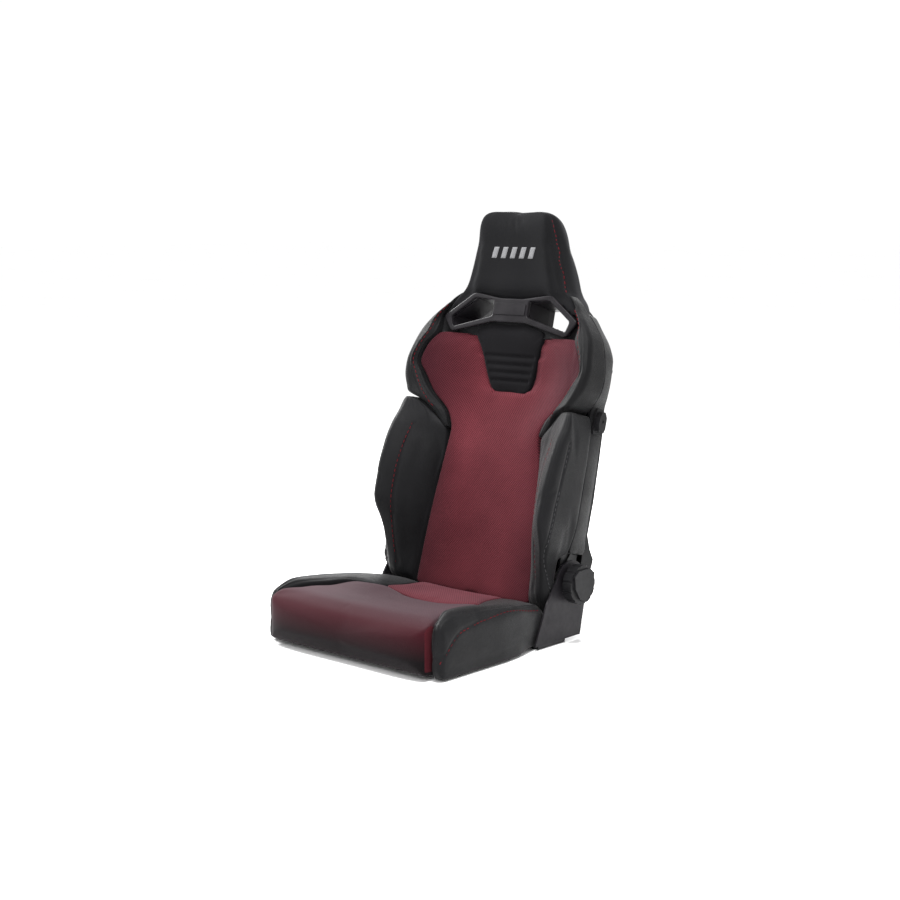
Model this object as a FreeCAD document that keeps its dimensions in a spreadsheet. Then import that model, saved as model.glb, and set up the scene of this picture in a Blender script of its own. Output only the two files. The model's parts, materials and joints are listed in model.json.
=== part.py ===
import FreeCAD, Part
import math
import os
import Sketcher

# A reclining sports seat, in millimetres, +Z up, its front facing -Y.
# The origin is the centre of the four mounting holes, on the underside of the base frame.
# The backrest is drawn upright in a frame of its own, whose origin is the recliner axis:
# x across, y backwards and z up along the backrest.  A Placement then leans it back.

doc = FreeCAD.newDocument("sports_seat")
dims = doc.addObject("Spreadsheet::Sheet", "Dims")

SIZES = [
    ("hinge_y", 197.0, "recliner axis, behind the centre of the mounting holes"),
    ("hinge_z", 133.0, "recliner axis, above the underside"),
    ("back_tilt", 14.0, "backrest lean from upright, degrees"),
    ("pitch_x", 380.0, "mounting holes, across"),
    ("pitch_y", 290.0, "mounting holes, front to back"),
    ("hole_dia", 8.5, "clearance hole for an M8 bolt"),
    ("rail_w", 24.0, "base rail, width"),
    ("rail_z", 26.0, "base rail, height"),
    ("rail_wall", 2.5, "base rail, wall"),
    ("rail_front", -225.0, "front end of the base rails"),
    ("rail_rear", 185.0, "rear end of the base rails"),
    ("pan_t", 2.0, "seat pan sheet"),
    ("pan_half", 198.0, "seat pan, half width"),
    ("foam_low", 44.0, "underside of the cushion foam over the springs"),
    ("cushion_half", 262.0, "cushion, half width outside the bolsters"),
    ("nose_half", 232.0, "front roll, half width"),
    ("gap", 0.6, "space between neighbouring pads"),
    ("plate_x", 247.0, "inner face of a side plate"),
    ("plate_t", 4.0, "side plate sheet"),
    ("plate_z", 9.0, "bottom edge of a side plate, above the underside of the rails"),
    ("arch_rad", 50.0, "round head of a side plate"),
    ("disc_rad", 40.0, "recliner disc"),
    ("disc_t", 8.0, "recliner disc, each half"),
    ("shaft_rad", 6.0, "cross shaft between the hand wheels"),
    ("run_fit", 0.05, "running clearance on a radius"),
    ("arm_t", 3.5, "recliner arm sheet"),
    ("bush_rad", 10.0, "pivot bush of the tip-forward hinge"),
    ("wheel_rad", 44.0, "hand wheel"),
    ("wheel_t", 30.0, "hand wheel, width"),
    ("wheel_x", 255.0, "inner face of a hand wheel"),
    ("tube_rad", 9.0, "backrest frame tube"),
    ("tube_wall", 1.5, "backrest frame tube, wall"),
    ("tube_x", 205.0, "backrest frame tube, off centre"),
    ("tube_v", 21.0, "backrest frame tube, behind the recliner axis"),
    ("shell_wall", 3.0, "back shell wall"),
    ("head_top", 822.0, "top of the head part, above the recliner axis"),
    ("lever_w", 364.0, "shoulder lever pivot, above the recliner axis"),
    ("nut_af", 13.0, "weld nut, across flats"),
    ("nut_t", 6.5, "weld nut, thickness"),
    ("cross_rad", 11.0, "rear cross tube"),
    ("pan_rear", 70.0, "rear edge of the seat pan"),
    ("pan_open", 130.0, "opening of the seat pan, half width"),
    ("wire_rad", 2.0, "seat spring wire"),
    ("bearing_rad", 8.0, "plastic bearing of the cross shaft, outside"),
    ("foot_t", 5.0, "angle piece under a side plate"),
    ("face_gap", 0.2, "space between faces that turn past each other"),
    ("pin_rad", 4.0, "striker pin of the tip-forward latch"),
    ("striker_v", 24.0, "striker pin, behind the recliner axis"),
    ("striker_w", 50.0, "striker pin, above the recliner axis"),
    ("screw_rad", 2.5, "screw that holds a hand wheel"),
    ("bezel_t", 12.0, "front frame of the harness openings, depth"),
    ("surround_x", 252.6, "inner face of the surround of the shoulder lever"),
    ("surround_t", 3.0, "surround of the shoulder lever"),
    ("lever_t", 12.0, "shoulder lever, thickness"),
    ("flute_rad", 5.0, "finger flute round a hand wheel"),
    ("cap_t", 5.0, "face cap of a hand wheel"),
]
for row, (alias, size, meaning) in enumerate(SIZES, start=1):
    dims.set("A%d" % row, meaning)
    dims.set("B%d" % row, str(size))
    dims.setAlias("B%d" % row, alias)
doc.recompute()

PARTS = {}
SIDES = (("left", -1), ("right", 1))


def named(text):
    """An expression with the sheet's name in front of each of its aliases."""
    words = []
    word = ""
    aliases = {alias for alias, size, meaning in SIZES}
    for letter in str(text) + " ":
        if letter.isalnum() or letter in "_.":
            word += letter
            continue
        words.append("Dims." + word if word in aliases else word)
        words.append(letter)
        word = ""
    return "".join(words).strip()


def number(text):
    """The value that an expression has now."""
    value = dims.evalExpression(named(text).replace("Dims.", ""))
    return float(getattr(value, "Value", value))


def bind(thing, prop, text):
    """Drive a property from the sheet."""
    thing.setExpression(prop, named(text))


def place(thing, x="0", y="0", z="0"):
    """Put an object at a point that the sheet drives."""
    for axis, text in (("x", x), ("y", y), ("z", z)):
        bind(thing, "Placement.Base." + axis, text)


def lean_back(thing):
    """Stand a backrest piece on the recliner axis and lean it back."""
    thing.Placement = FreeCAD.Placement(FreeCAD.Vector(0, number("hinge_y"), number("hinge_z")),
                                        FreeCAD.Rotation(FreeCAD.Vector(1, 0, 0), -number("back_tilt")))
    bind(thing, "Placement.Base.y", "hinge_y")
    bind(thing, "Placement.Base.z", "hinge_z")
    bind(thing, "Placement.Rotation.Angle", "back_tilt")
    thing.Placement.Rotation.Axis = FreeCAD.Vector(-1, 0, 0)


def keep(name, thing, on_back=False):
    """Enter an object as a sub-part under its name."""
    thing.Label = name
    if on_back:
        lean_back(thing)
    PARTS[name] = thing
    return thing


def both_ways(sign, corners):
    """An outline for one side of the seat, mirrored for the other."""
    return [("%d*(%s)" % (sign, x), y) for x, y in corners]


class Piece:
    """A PartDesign body, built up one feature at a time."""

    def __init__(self, name, on_back=False):
        self.name = name
        self.body = doc.addObject("PartDesign::Body", name + "_body")
        keep(name, self.body, on_back)

    def sketch(self, plane, offset="0"):
        """A sketch parallel to one of the body's origin planes."""
        sketch = self.body.newObject("Sketcher::SketchObject", self.name + "_sketch")
        origin_plane = [o for o in self.body.Origin.OriginFeatures if o.Role == plane + "_Plane"][0]
        sketch.AttachmentSupport = [(origin_plane, "")]
        sketch.MapMode = "FlatFace"
        if plane == "XZ":
            offset = "-(%s)" % offset
        bind(sketch, "AttachmentOffset.Base.z", offset)
        return sketch

    def polygon(self, sketch, corners):
        """A closed outline, each corner driven by two expressions."""
        points = [FreeCAD.Vector(number(a), number(b), 0) for a, b in corners]
        count = len(points)
        first = sketch.GeometryCount
        for i in range(count):
            sketch.addGeometry(Part.LineSegment(points[i], points[(i + 1) % count]), False)
        for i in range(count):
            following = first + (i + 1) % count
            sketch.addConstraint(Sketcher.Constraint("Coincident", first + i, 2, following, 1))
        for i, (a, b) in enumerate(corners):
            self.hold_point(sketch, first + i, 1, a, b)
        return sketch

    def hold_point(self, sketch, geometry, vertex, a, b):
        """Tie one point of a sketch to two expressions."""
        for kind, text in (("DistanceX", a), ("DistanceY", b)):
            rule = sketch.addConstraint(Sketcher.Constraint(kind, -1, 1, geometry, vertex, number(text)))
            bind(sketch, "Constraints[%d]" % rule, text)

    def circle(self, sketch, a, b, radius):
        """A circle, its centre and radius driven by expressions."""
        centre = FreeCAD.Vector(number(a), number(b), 0)
        index = sketch.addGeometry(Part.Circle(centre, FreeCAD.Vector(0, 0, 1), number(radius)), False)
        rule = sketch.addConstraint(Sketcher.Constraint("Radius", index, number(radius)))
        bind(sketch, "Constraints[%d]" % rule, radius)
        self.hold_point(sketch, index, 3, a, b)
        return sketch

    def pad(self, sketch, length, reverse=False):
        """Raise a sketch along its plane's normal."""
        pad = self.body.newObject("PartDesign::Pad", self.name + "_pad")
        pad.Profile = sketch
        bind(pad, "Length", length)
        pad.Reversed = reverse
        return pad

    def cut_through(self, sketch, depth="2000"):
        """Cut a sketch's outline away on both sides of its plane."""
        pocket = self.body.newObject("PartDesign::Pocket", self.name + "_pocket")
        pocket.Profile = sketch
        bind(pocket, "Length", depth)
        pocket.SideType = "Symmetric"
        return pocket

    def loft(self, sketches):
        """Join outlines on parallel planes into one solid."""
        loft = self.body.newObject("PartDesign::AdditiveLoft", self.name + "_loft")
        loft.Profile = sketches[0]
        loft.Sections = sketches[1:]
        loft.Ruled = True
        return loft


def plate(name, plane, offset, thickness, corners, holes=(), discs=(), on_back=False):
    """A flat sheet part: an outline, round lobes added to it and round holes through it."""
    piece = Piece(name, on_back)
    if corners:
        piece.pad(piece.polygon(piece.sketch(plane, offset), corners), thickness)
    for a, b, radius in discs:
        piece.pad(piece.circle(piece.sketch(plane, offset), a, b, radius), thickness)
    for a, b, radius in holes:
        piece.cut_through(piece.circle(piece.sketch(plane, offset), a, b, radius), "(%s)*4" % thickness)
    return piece


def lofted(name, plane, stations, on_back=False):
    """A solid through outlines on parallel planes: (offset, corners) each."""
    piece = Piece(name, on_back)
    sketches = [piece.polygon(piece.sketch(plane, at), corners) for at, corners in stations]
    piece.loft(sketches)
    return piece


def cylinder(radius, length, direction, x, y, z):
    """A round bar along one axis, starting at a point."""
    bar = doc.addObject("Part::Cylinder", "bar")
    bind(bar, "Radius", radius)
    bind(bar, "Height", length)
    bar.Placement.Rotation = FreeCAD.Rotation(FreeCAD.Vector(0, 0, 1), FreeCAD.Vector(*direction))
    place(bar, x, y, z)
    return bar


def hexagon(across, length, direction, x, y, z):
    """A hexagonal bar along one axis, by its width across flats."""
    bar = doc.addObject("Part::Prism", "hexagon")
    bar.Polygon = 6
    bind(bar, "Circumradius", "(%s)/cos(30deg)/2" % across)
    bind(bar, "Height", length)
    bar.Placement.Rotation = FreeCAD.Rotation(FreeCAD.Vector(0, 0, 1), FreeCAD.Vector(*direction))
    place(bar, x, y, z)
    return bar


def box(x, y, z, length, width, height):
    """A box by its lowest corner and its three sizes."""
    block = doc.addObject("Part::Box", "block")
    bind(block, "Length", length)
    bind(block, "Width", width)
    bind(block, "Height", height)
    place(block, x, y, z)
    return block


def fused(things):
    """One solid out of several that touch."""
    union = doc.addObject("Part::MultiFuse", "union")
    union.Shapes = things
    return union


def cut(base, tool):
    """One solid less another."""
    difference = doc.addObject("Part::Cut", "difference")
    difference.Base = base
    difference.Tool = tool
    return difference


def group(things):
    """Separate solids kept as one sub-part."""
    compound = doc.addObject("Part::Compound", "group")
    compound.Links = things
    return compound


def outboard(sign, inner, thickness):
    """Where a sheet of a side pair starts along X, from the face nearer the middle."""
    if sign > 0:
        return inner
    return "-(%s)-(%s)" % (inner, thickness)


def ring(outer, bore, sign, inner, thickness, y="hinge_y", z="hinge_z"):
    """A round disc about an axis along X, with a bore right through it."""
    start = outboard(sign, inner, thickness)
    disc = cylinder(outer, thickness, (1, 0, 0), start, y, z)
    hole = cylinder(bore, "(%s)*3" % thickness, (1, 0, 0), "%s-(%s)" % (start, thickness), y, z)
    return cut(disc, hole)


def base_rails():
    """Two hollow rails with the mounting holes, and the nuts welded inside them."""
    nuts = []
    for side, sign in SIDES:
        middle = "%d*pitch_x/2" % sign
        outer = box(middle + "-rail_w/2", "rail_front", "0", "rail_w", "rail_rear-rail_front", "rail_z")
        inner = box(middle + "-rail_w/2+rail_wall", "rail_front-1", "rail_wall",
                    "rail_w-2*rail_wall", "rail_rear-rail_front+2", "rail_z-2*rail_wall")
        holes = []
        for end in (-1, 1):
            along = "%d*pitch_y/2" % end
            holes.append(cylinder("hole_dia/2", "rail_wall*3", (0, 0, 1), middle, along, "-rail_wall"))
            nut = hexagon("nut_af", "nut_t", (0, 0, 1), middle, along, "rail_wall")
            bore = cylinder("hole_dia/2", "nut_t*3", (0, 0, 1), middle, along, "rail_wall-nut_t")
            nuts.append(cut(nut, bore))
        keep("base_rail_" + side, cut(outer, group([inner] + holes)))
    keep("weld_nuts", group(nuts))


def base_cross_members():
    """A box section across the front and a round tube across the rear."""
    half = "pitch_x/2-rail_w/2"
    outer = box("-(%s)" % half, "rail_front+3", "0", "2*(%s)" % half, "rail_z", "rail_z")
    inner = box("-(%s)-1" % half, "rail_front+3+rail_wall", "rail_wall", "2*(%s)+2" % half,
                "rail_z-2*rail_wall", "rail_z-2*rail_wall")
    keep("front_cross_member", cut(outer, inner))
    tube = cylinder("cross_rad", "2*(%s)" % half, (1, 0, 0), "-(%s)" % half, "rail_rear-cross_rad", "rail_z/2")
    bore = cylinder("cross_rad-rail_wall", "2*(%s)+2" % half, (1, 0, 0), "-(%s)-1" % half,
                    "rail_rear-cross_rad", "rail_z/2")
    keep("rear_cross_tube", cut(tube, bore))


def seat_pan():
    """Pressed sheet over the rails: a wide opening for the springs and a raised front lip."""
    sheet = box("-pan_half", "rail_front", "rail_z", "2*pan_half", "pan_rear-rail_front", "pan_t")
    opening = box("-pan_open", "-115", "rail_z-5", "2*pan_open", "165", "20")
    lip = box("-pan_half", "rail_front", "rail_z+pan_t", "2*pan_half", "pan_t", "foam_low-rail_z-pan_t-1")
    keep("seat_pan", fused([cut(sheet, opening), lip]))


def seat_springs():
    """Round wires across the pan's opening, tied by two border wires."""
    level = "rail_z+pan_t+wire_rad+0.3"
    wires = []
    for i in range(4):
        along = "-92+%d*40" % i
        wires.append(cylinder("wire_rad", "2*pan_open+20", (1, 0, 0), "-pan_open-10", along, level))
    for sign in (-1, 1):
        wires.append(cylinder("wire_rad", "130", (0, 1, 0), "%d*(pan_open-12)" % sign, "-97", level))
    keep("seat_springs", fused(wires))


def side_brackets():
    """Side plates that carry the recliners, and the angle pieces that join them to the rails."""
    outline = [("hinge_y-124", "plate_z"), ("hinge_y-84", "hinge_z-35"), ("hinge_y-47", "hinge_z+17"),
               ("hinge_y", "hinge_z+arch_rad/2"), ("hinge_y+arch_rad", "hinge_z"),
               ("hinge_y+arch_rad+1", "hinge_z-56"), ("hinge_y+35", "plate_z")]
    feet = []
    for side, sign in SIDES:
        plate("side_plate_" + side, "YZ", outboard(sign, "plate_x", "plate_t"), "plate_t", outline,
              holes=[("hinge_y", "hinge_z", "bearing_rad")], discs=[("hinge_y", "hinge_z", "arch_rad")])
        rail_face = "pitch_x/2+rail_w/2"
        reach = "plate_x-(%s)" % rail_face
        sole = box(outboard(sign, rail_face, reach), "88", "0", reach, "95", "foot_t")
        flange = box(outboard(sign, "plate_x-plate_t", "plate_t"), "88", "foot_t", "plate_t", "95", "26")
        feet.append(fused([sole, flange]))
    keep("side_feet", group(feet))


def recliners():
    """Two-part recliner discs, their arms, bushes and clips, on one axis."""
    upper_x = "plate_x-2*disc_t-face_gap"
    arm_x = upper_x + "-arm_t"
    bearings = []
    bushes = []
    clips = []
    for side, sign in SIDES:
        keep("recliner_disc_lower_" + side,
             ring("disc_rad", "shaft_rad+run_fit", sign, "plate_x-disc_t", "disc_t"))
        keep("recliner_disc_upper_" + side, ring("disc_rad-1", "shaft_rad+run_fit", sign, upper_x, "disc_t"))
        sleeve = ring("bearing_rad", "shaft_rad+run_fit", sign, "plate_x", "plate_t")
        collar = ring("bearing_rad+5", "shaft_rad+run_fit", sign, "plate_x+plate_t", "2")
        bearings.append(fused([sleeve, collar]))
        plate("recliner_arm_" + side, "YZ", outboard(sign, arm_x, "arm_t"), "arm_t",
                    [("-18", "10"), ("8", "62"), ("34", "62"), ("34", "0")],
                    holes=[("0", "0", "shaft_rad+1")], discs=[("0", "0", "disc_rad-4")], on_back=True)
        bushes.append(ring("bush_rad", "shaft_rad+1", sign, arm_x + "-8", "8"))
        clips.append(ring("bush_rad+4", "bush_rad", sign, arm_x + "-plate_t-2*face_gap-1.5", "1.5"))
    keep("shaft_bearings", group(bearings))
    keep("tip_bushes", group(bushes))
    keep("bush_clips", group(clips))
    pins = [cylinder("pin_rad", "13", (1, 0, 0), outboard(sign, arm_x + "-13", "13"), "striker_v", "striker_w")
            for side, sign in SIDES]
    keep("latch_strikers", group(pins), on_back=True)


def between(table, at):
    """Straight-line reading of a table of (place, size) pairs."""
    for (low, first), (high, second) in zip(table, table[1:]):
        if low <= at <= high:
            return first + (second - first) * (at - low) / (high - low)
    return table[-1][1] if at > table[-1][0] else table[0][1]


# Half width of the cushion's middle part: its seam with the bolsters, front to back.
CUSHION_SEAM = [(-274, 215), (-262, 232), (-240, 232), (-229, 230), (-184, 208), (-110, 196),
                (-50, 196), (10, 142), (60, 124), (128, 118)]


def cushion_section(half, under, edge, middle):
    """Cross section of the cushion's middle part, a little hollow towards its centre line."""
    crown = "(%s)*0.45" % half
    return [("-(%s)" % half, under), (half, under), (half, edge), (crown, middle),
            ("-(%s)" % crown, middle), ("-(%s)" % half, edge)]


def cushion():
    """Foam of the cushion: middle with its front roll, rear panel and two bolsters."""
    middle_rows = [(-274, 40, 88, 88), (-262, 12, 108, 106), (-240, 10, 119, 115), (-229, 10, 121, 117),
                   (-226, "foam_low", 121, 117), (-184, "foam_low", 121, 114), (-110, "foam_low", 114, 103),
                   (-50, "foam_low", 112, 96), (10, "foam_low", 100, 91)]
    stations = []
    for y, under, edge, middle in middle_rows:
        half = "%g+nose_half-232" % between(CUSHION_SEAM, y)
        stations.append((str(y), cushion_section(half, under, edge, middle)))
    lofted("cushion_centre", "XZ", stations)
    stations = []
    for y, edge, middle in ((10, 100, 91), (60, 97, 90), (112, 93, 90), (128, 87, 86)):
        half = "%g" % between(CUSHION_SEAM, y)
        start = "%d+gap" % y if y == 10 else str(y)
        stations.append((start, cushion_section(half, "foam_low", edge, middle)))
    lofted("cushion_rear_panel", "XZ", stations)
    # Place along the seat, height at the seam, crest (x, z), outer edge (x, z) and underside.
    bolster_rows = [(-247, 84, 249, 92, 257, 78, 10), (-240, 106, 247, 114, 261, 94, 4),
                    (-229, 114, 243, 124, 262, 101, 3), (-184, 127, 236, 141, 262, 112, 3),
                    (-110, 122, 233, 135, 262, 111, 3), (-50, 114, 232, 127, 262, 108, 3), (10, 101, 226, 117, 257, 104, 3),
                    (60, 97, 220, 107, 246, 98, 8), (84, 95, 218, 102, 242, 95, 8),
                    (104, 93, 215, 96, 242, 90, 8), (116, 76, 215, 78, 242, 76, 8),
                    (128, 60, 215, 61, 242, 60, 8), (142, 50, 215, 50.5, 242, 49, 8)]
    for side, sign in SIDES:
        stations = []
        for y, seam_z, crest_x, crest_z, edge_x, edge_z, under in bolster_rows:
            inner = "%g+gap" % max(between(CUSHION_SEAM, y), 118)
            step = "pitch_x/2+rail_w/2+4"
            if number(inner) + 4 > number(step):
                step = inner + "+4"
            edge = "cushion_half-%g" % (262 - edge_x)
            corners = [(inner, "foam_low"), (inner, seam_z), (crest_x, crest_z), (edge, edge_z),
                       (edge, under), (step, under), (step, "foam_low")]
            stations.append((str(y), [("%d*(%s)" % (sign, x), z) for x, z in corners]))
        lofted("cushion_bolster_" + side, "XZ", stations)


def hand_wheels():
    """Cross shaft, and a fluted wheel, a screw and a face cap at each end."""
    reach = "wheel_x+20"
    shaft = cylinder("shaft_rad", "2*(%s)" % reach, (1, 0, 0), "-(%s)" % reach, "hinge_y", "hinge_z")
    taps = []
    screws = []
    for side, sign in SIDES:
        taps.append(cylinder("screw_rad", "14", (1, 0, 0), outboard(sign, reach + "-14", "14"),
                             "hinge_y", "hinge_z"))
        stem = cylinder("screw_rad", "14", (1, 0, 0), outboard(sign, reach + "-14", "14"), "hinge_y", "hinge_z")
        head = cylinder("screw_rad*2.4", "4", (1, 0, 0), outboard(sign, reach, "4"), "hinge_y", "hinge_z")
        screws.append(fused([stem, head]))
        neck = cylinder("wheel_rad-12", "6", (1, 0, 0), outboard(sign, "wheel_x", "6"), "hinge_y", "hinge_z")
        drum = cylinder("wheel_rad", "wheel_t-6", (1, 0, 0), outboard(sign, "wheel_x+6", "wheel_t-6"),
                        "hinge_y", "hinge_z")
        cutters = [cylinder("shaft_rad", "40", (1, 0, 0), outboard(sign, "wheel_x-10", "40"),
                            "hinge_y", "hinge_z"),
                   cylinder("screw_rad*2.4+1", "20", (1, 0, 0), outboard(sign, reach, "20"),
                            "hinge_y", "hinge_z")]
        for i in range(12):
            turn = "(%d*30+15)" % i
            cutters.append(cylinder("flute_rad", "60", (1, 0, 0), outboard(sign, "wheel_x", "60"),
                                    "hinge_y+(wheel_rad+flute_rad-2)*cos(%s*1deg)" % turn,
                                    "hinge_z+(wheel_rad+flute_rad-2)*sin(%s*1deg)" % turn))
        keep("hand_wheel_" + side, cut(fused([neck, drum]), group(cutters)))
        shield = [("-0.80", "0.52"), ("-0.45", "0.78"), ("0.45", "0.78"), ("0.80", "0.52"), ("0.74", "-0.10"),
                  ("0.36", "-0.68"), ("0", "-0.86"), ("-0.36", "-0.68"), ("-0.74", "-0.10")]
        outline = [("hinge_y+wheel_rad*(%s)" % a, "hinge_z+wheel_rad*(%s)" % b) for a, b in shield]
        plate("wheel_cap_" + side, "YZ", outboard(sign, "wheel_x+wheel_t", "cap_t"), "cap_t", outline)
    keep("cross_shaft", cut(shaft, group(taps)))
    keep("wheel_screws", group(screws))


def swept_tube(radius, points, bend):
    """Solid round bar along straight runs joined by tangent arcs."""
    corners = [FreeCAD.Vector(*p) for p in points]
    edges = []
    start = corners[0]
    for before, corner, after in zip(corners, corners[1:], corners[2:]):
        into = (corner - before).normalize()
        out = (after - corner).normalize()
        trim = bend * math.tan(into.getAngle(out) / 2)
        first = corner - into * trim
        last = corner + out * trim
        inward = (out - into).normalize()
        centre_far = math.hypot(bend, trim)
        middle = corner + inward * (centre_far - bend)
        edges.append(Part.LineSegment(start, first).toShape())
        edges.append(Part.Arc(first, middle, last).toShape())
        start = last
    edges.append(Part.LineSegment(start, corners[-1]).toShape())
    path = Part.Wire(edges)
    profile = Part.Wire([Part.makeCircle(radius, corners[0], corners[1] - corners[0])])
    return path.makePipeShell([profile], True, False, 1)


def hoop_route():
    """Frame hoop, seen from the front: up one side, round inside the head part and down."""
    x = number("tube_x")
    v = number("tube_v")
    rise = [(x, v, 42), (x, v, 470), (172, 18, 590), (118, -8, 672), (72, -48, 772)]
    return [(-a, b, c) for a, b, c in rise] + [(a, b, c) for a, b, c in reversed(rise)]


def back_frame():
    """Hoop of round tube with two cross bars, spring wires, side arms and gussets."""
    radius = number("tube_rad")
    outside = swept_tube(radius, hoop_route(), 30)
    inside = swept_tube(radius - number("tube_wall"), hoop_route(), 30)
    hoop = doc.addObject("Part::Feature", "hoop")
    hoop.Shape = outside.cut(inside)
    keep("back_hoop", hoop, on_back=True)
    solid_hoop = doc.addObject("Part::Feature", "solid_hoop")
    solid_hoop.Shape = outside
    for place_name, height in (("lower", "58"), ("upper", "455")):
        bar = cylinder("tube_rad-1", "2*tube_x", (1, 0, 0), "-tube_x", "tube_v", height)
        bore = cylinder("tube_rad-1-tube_wall", "2*tube_x+2", (1, 0, 0), "-tube_x-1", "tube_v", height)
        keep("back_cross_bar_" + place_name, cut(cut(bar, bore), solid_hoop), on_back=True)
    wires = [cylinder("wire_rad", "2*tube_x", (1, 0, 0), "-tube_x", "tube_v-7", "120+%d*60" % i)
             for i in range(5)]
    ties = [cylinder("wire_rad", "264", (0, 0, 1), "%d*110" % sign, "tube_v-7", "108") for side, sign in SIDES]
    keep("back_springs", cut(fused(wires + ties), solid_hoop), on_back=True)
    arm_x = "plate_x-2*disc_t-2*face_gap-arm_t-plate_t"
    strut = [("-20", "8"), ("-16", "200"), ("26", "200"), ("26", "68"), ("16", "60"), ("16", "12")]
    gussets = []
    pivots = []
    for side, sign in SIDES:
        plate("frame_arm_" + side, "YZ", outboard(sign, arm_x, "plate_t"), "plate_t", strut,
              holes=[("0", "0", "bush_rad+run_fit"), ("6", "92", "pin_rad")],
              discs=[("0", "0", "30")], on_back=True)
        gusset = box(outboard(sign, "tube_x+2", arm_x + "-tube_x-2"), "tube_v-8", "112",
                     arm_x + "-tube_x-2", "16", "80")
        gussets.append(cut(gusset, solid_hoop))
        pivots.append(cylinder("pin_rad", "13", (1, 0, 0), outboard(sign, arm_x + "-9", "13"), "6", "92"))
        hook = [("0", "84"), ("2", "102"), ("14", "102"), ("44", "74"), ("50", "58"), ("41", "54"),
                ("34", "66"), ("14", "82")]
        plate("latch_hook_" + side, "YZ", outboard(sign, arm_x + "-6", "5"), "5", hook,
              holes=[("6", "92", "pin_rad+run_fit")], on_back=True)
    keep("frame_gussets", group(gussets), on_back=True)
    keep("hook_pivots", group(pivots), on_back=True)


# Half width of the backrest's middle panel: its seam with the bolsters, bottom to top.
BACK_SEAM = [(-66, 173), (45, 168), (182, 156), (255, 142), (307, 133), (345, 148), (392, 198), (430, 224),
             (460, 241), (502, 227), (536, 204)]


def back_panel():
    """Middle foam of the backrest, with a pocket for the ribbed insert at its top."""
    rows = [(-66, -40, -40, -9), (30, -40, -40, -9), (50, -40, -40, 9), (182, -40, -40, 9), (255, -46, -41, 9),
            (307, -50, -36, 9), (345, -51, -28, 9), (392, -60, -18, 9), (430, -68, -14, 9),
            (460, -76, -20, 9), (502, -74, -32, 9), (536, -62, -44, 9)]
    stations = []
    for w, edge, middle, rear in rows:
        half = "%g-gap" % between(BACK_SEAM, w)
        near = "(%s)*0.45" % half
        stations.append((str(w), [("-(%s)" % half, edge), ("-(%s)" % near, middle), (near, middle),
                                  (half, edge), (half, rear), ("-(%s)" % half, rear)]))
    panel = lofted("back_panel", "XY", stations).body
    blocks = []
    for name, grow in (("back_insert", 0.0), ("insert_pocket", 0.5)):
        stations = []
        for w, half, front in ((408, 46, -13), (420, 58, -15), (500, 86, -36), (545, 103, -47), (562, 60, -49)):
            side = half + grow
            ahead = front - grow * 60
            behind = front + 14 + grow
            height = w - grow if w == 408 else w + (grow * 20 if w == 562 else 0)
            stations.append((str(height), [(-side, ahead), (side, ahead), (side, behind), (-side, behind)]))
        blocks.append(lofted(name, "XY", stations).body)
    del PARTS["insert_pocket"]
    keep("back_insert", blocks[0], on_back=True)
    keep("back_panel", cut(panel, blocks[1]), on_back=True)
    return blocks[1]


def back_bolsters():
    """Lower bolsters at the waist and shoulder bolsters above them."""
    # Height, then seam (x, y), inner crest, outer crest, outer edge, rear of that edge and rear of
    # the foam; a seam at x 0 follows the edge of the middle panel.
    lower_rows = [(-74, 173, -30, 198, -38, 228, -40, 238, -36, -24, 212, -9),
                  (-64, 0, -38, 198, -48, 228, -50, 240, -46, -32, 212, -9),
                  (-50, 0, -42, 198, -66, 230, -70, 243, -58, -32, 212, -9),
                  (6, 0, -42, 200, -76, 234, -95, 243, -85, -50, 212, -9),
                  (45, 0, -42, 200, -88, 238, -112, 244, -100, -50, 212, -9),
                  (64, 0, -42, 200, -93, 241, -121, 249, -106, -24, 212, -9),
                  (110, 0, -42, 202, -104, 246, -148, 259, -134, -24, 212, -9),
                  (128, 0, -42, 202, -106, 247, -154, 261, -138, -24, 212, 9),
                  (182, 0, -42, 200, -108, 248, -154, 262, -140, -24, 212, 9),
                  (255, 0, -44, 196, -98, 247, -143, 262, -132, -24, 212, 9),
                  (300, 141, -50, 196, -84, 245, -130, 261, -120, -24, 212, 9),
                  (343, 184, -70, 204, -84, 244, -108, 258, -102, -24, 212, 9),
                  (370, 219, -90, 224, -93, 240, -100, 250, -98, -24, 226, 0)]
    upper_rows = [(310, 0, -52, 138, -55, 144, -56, 149, -54, 0, 144, 9),
                  (345, 0, -52, 155, -62, 172, -70, 182, -66, 0, 176, 9),
                  (371, 0, -58, 184, -74, 206, -90, 217, -88, 0, 210, 9),
                  (376, 0, -60, 190, -78, 228, -104, 240, -98, -24, 212, 9),
                  (392, 0, -66, 206, -82, 240, -103, 252, -95, -24, 214, 9),
                  (430, 0, -73, 232, -88, 258, -101, 270, -89, -24, 226, 9),
                  (460, 0, -78, 248, -88, 262, -97, 273, -85, -24, 243, 9),
                  (502, 0, -76, 236, -86, 254, -90, 265, -78, -24, 229, 9),
                  (536, 0, -64, 216, -78, 242, -82, 254, -72, -24, 208, 9),
                  (573, 206, -52, 210, -70, 220, -76, 228, -66, -24, 194, 9),
                  (600, 188, -48, 191, -66, 196, -70, 203, -60, -24, 182, 5),
                  (624, 168, -48, 171, -62, 176, -66, 180, -56, -24, 164, 0)]
    for kind, rows in (("back_bolster_", lower_rows), ("shoulder_bolster_", upper_rows)):
        for side, sign in SIDES:
            stations = []
            for w, x1, v1, x2, v2, x3, v3, x4, v4, v5, x6, v6 in rows:
                x1 = x1 or between(BACK_SEAM, w)
                corners = [("%g+gap" % x1, v1), (x2, v2), (x3, v3), (x4, v4), (x4, v5),
                           ("%g+2" % x6, v5), (x6, v6), ("%g+gap" % x1, v6)]
                stations.append((str(w), both_ways(sign, corners)))
            lofted(kind + side, "XY", stations, on_back=True)


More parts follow.
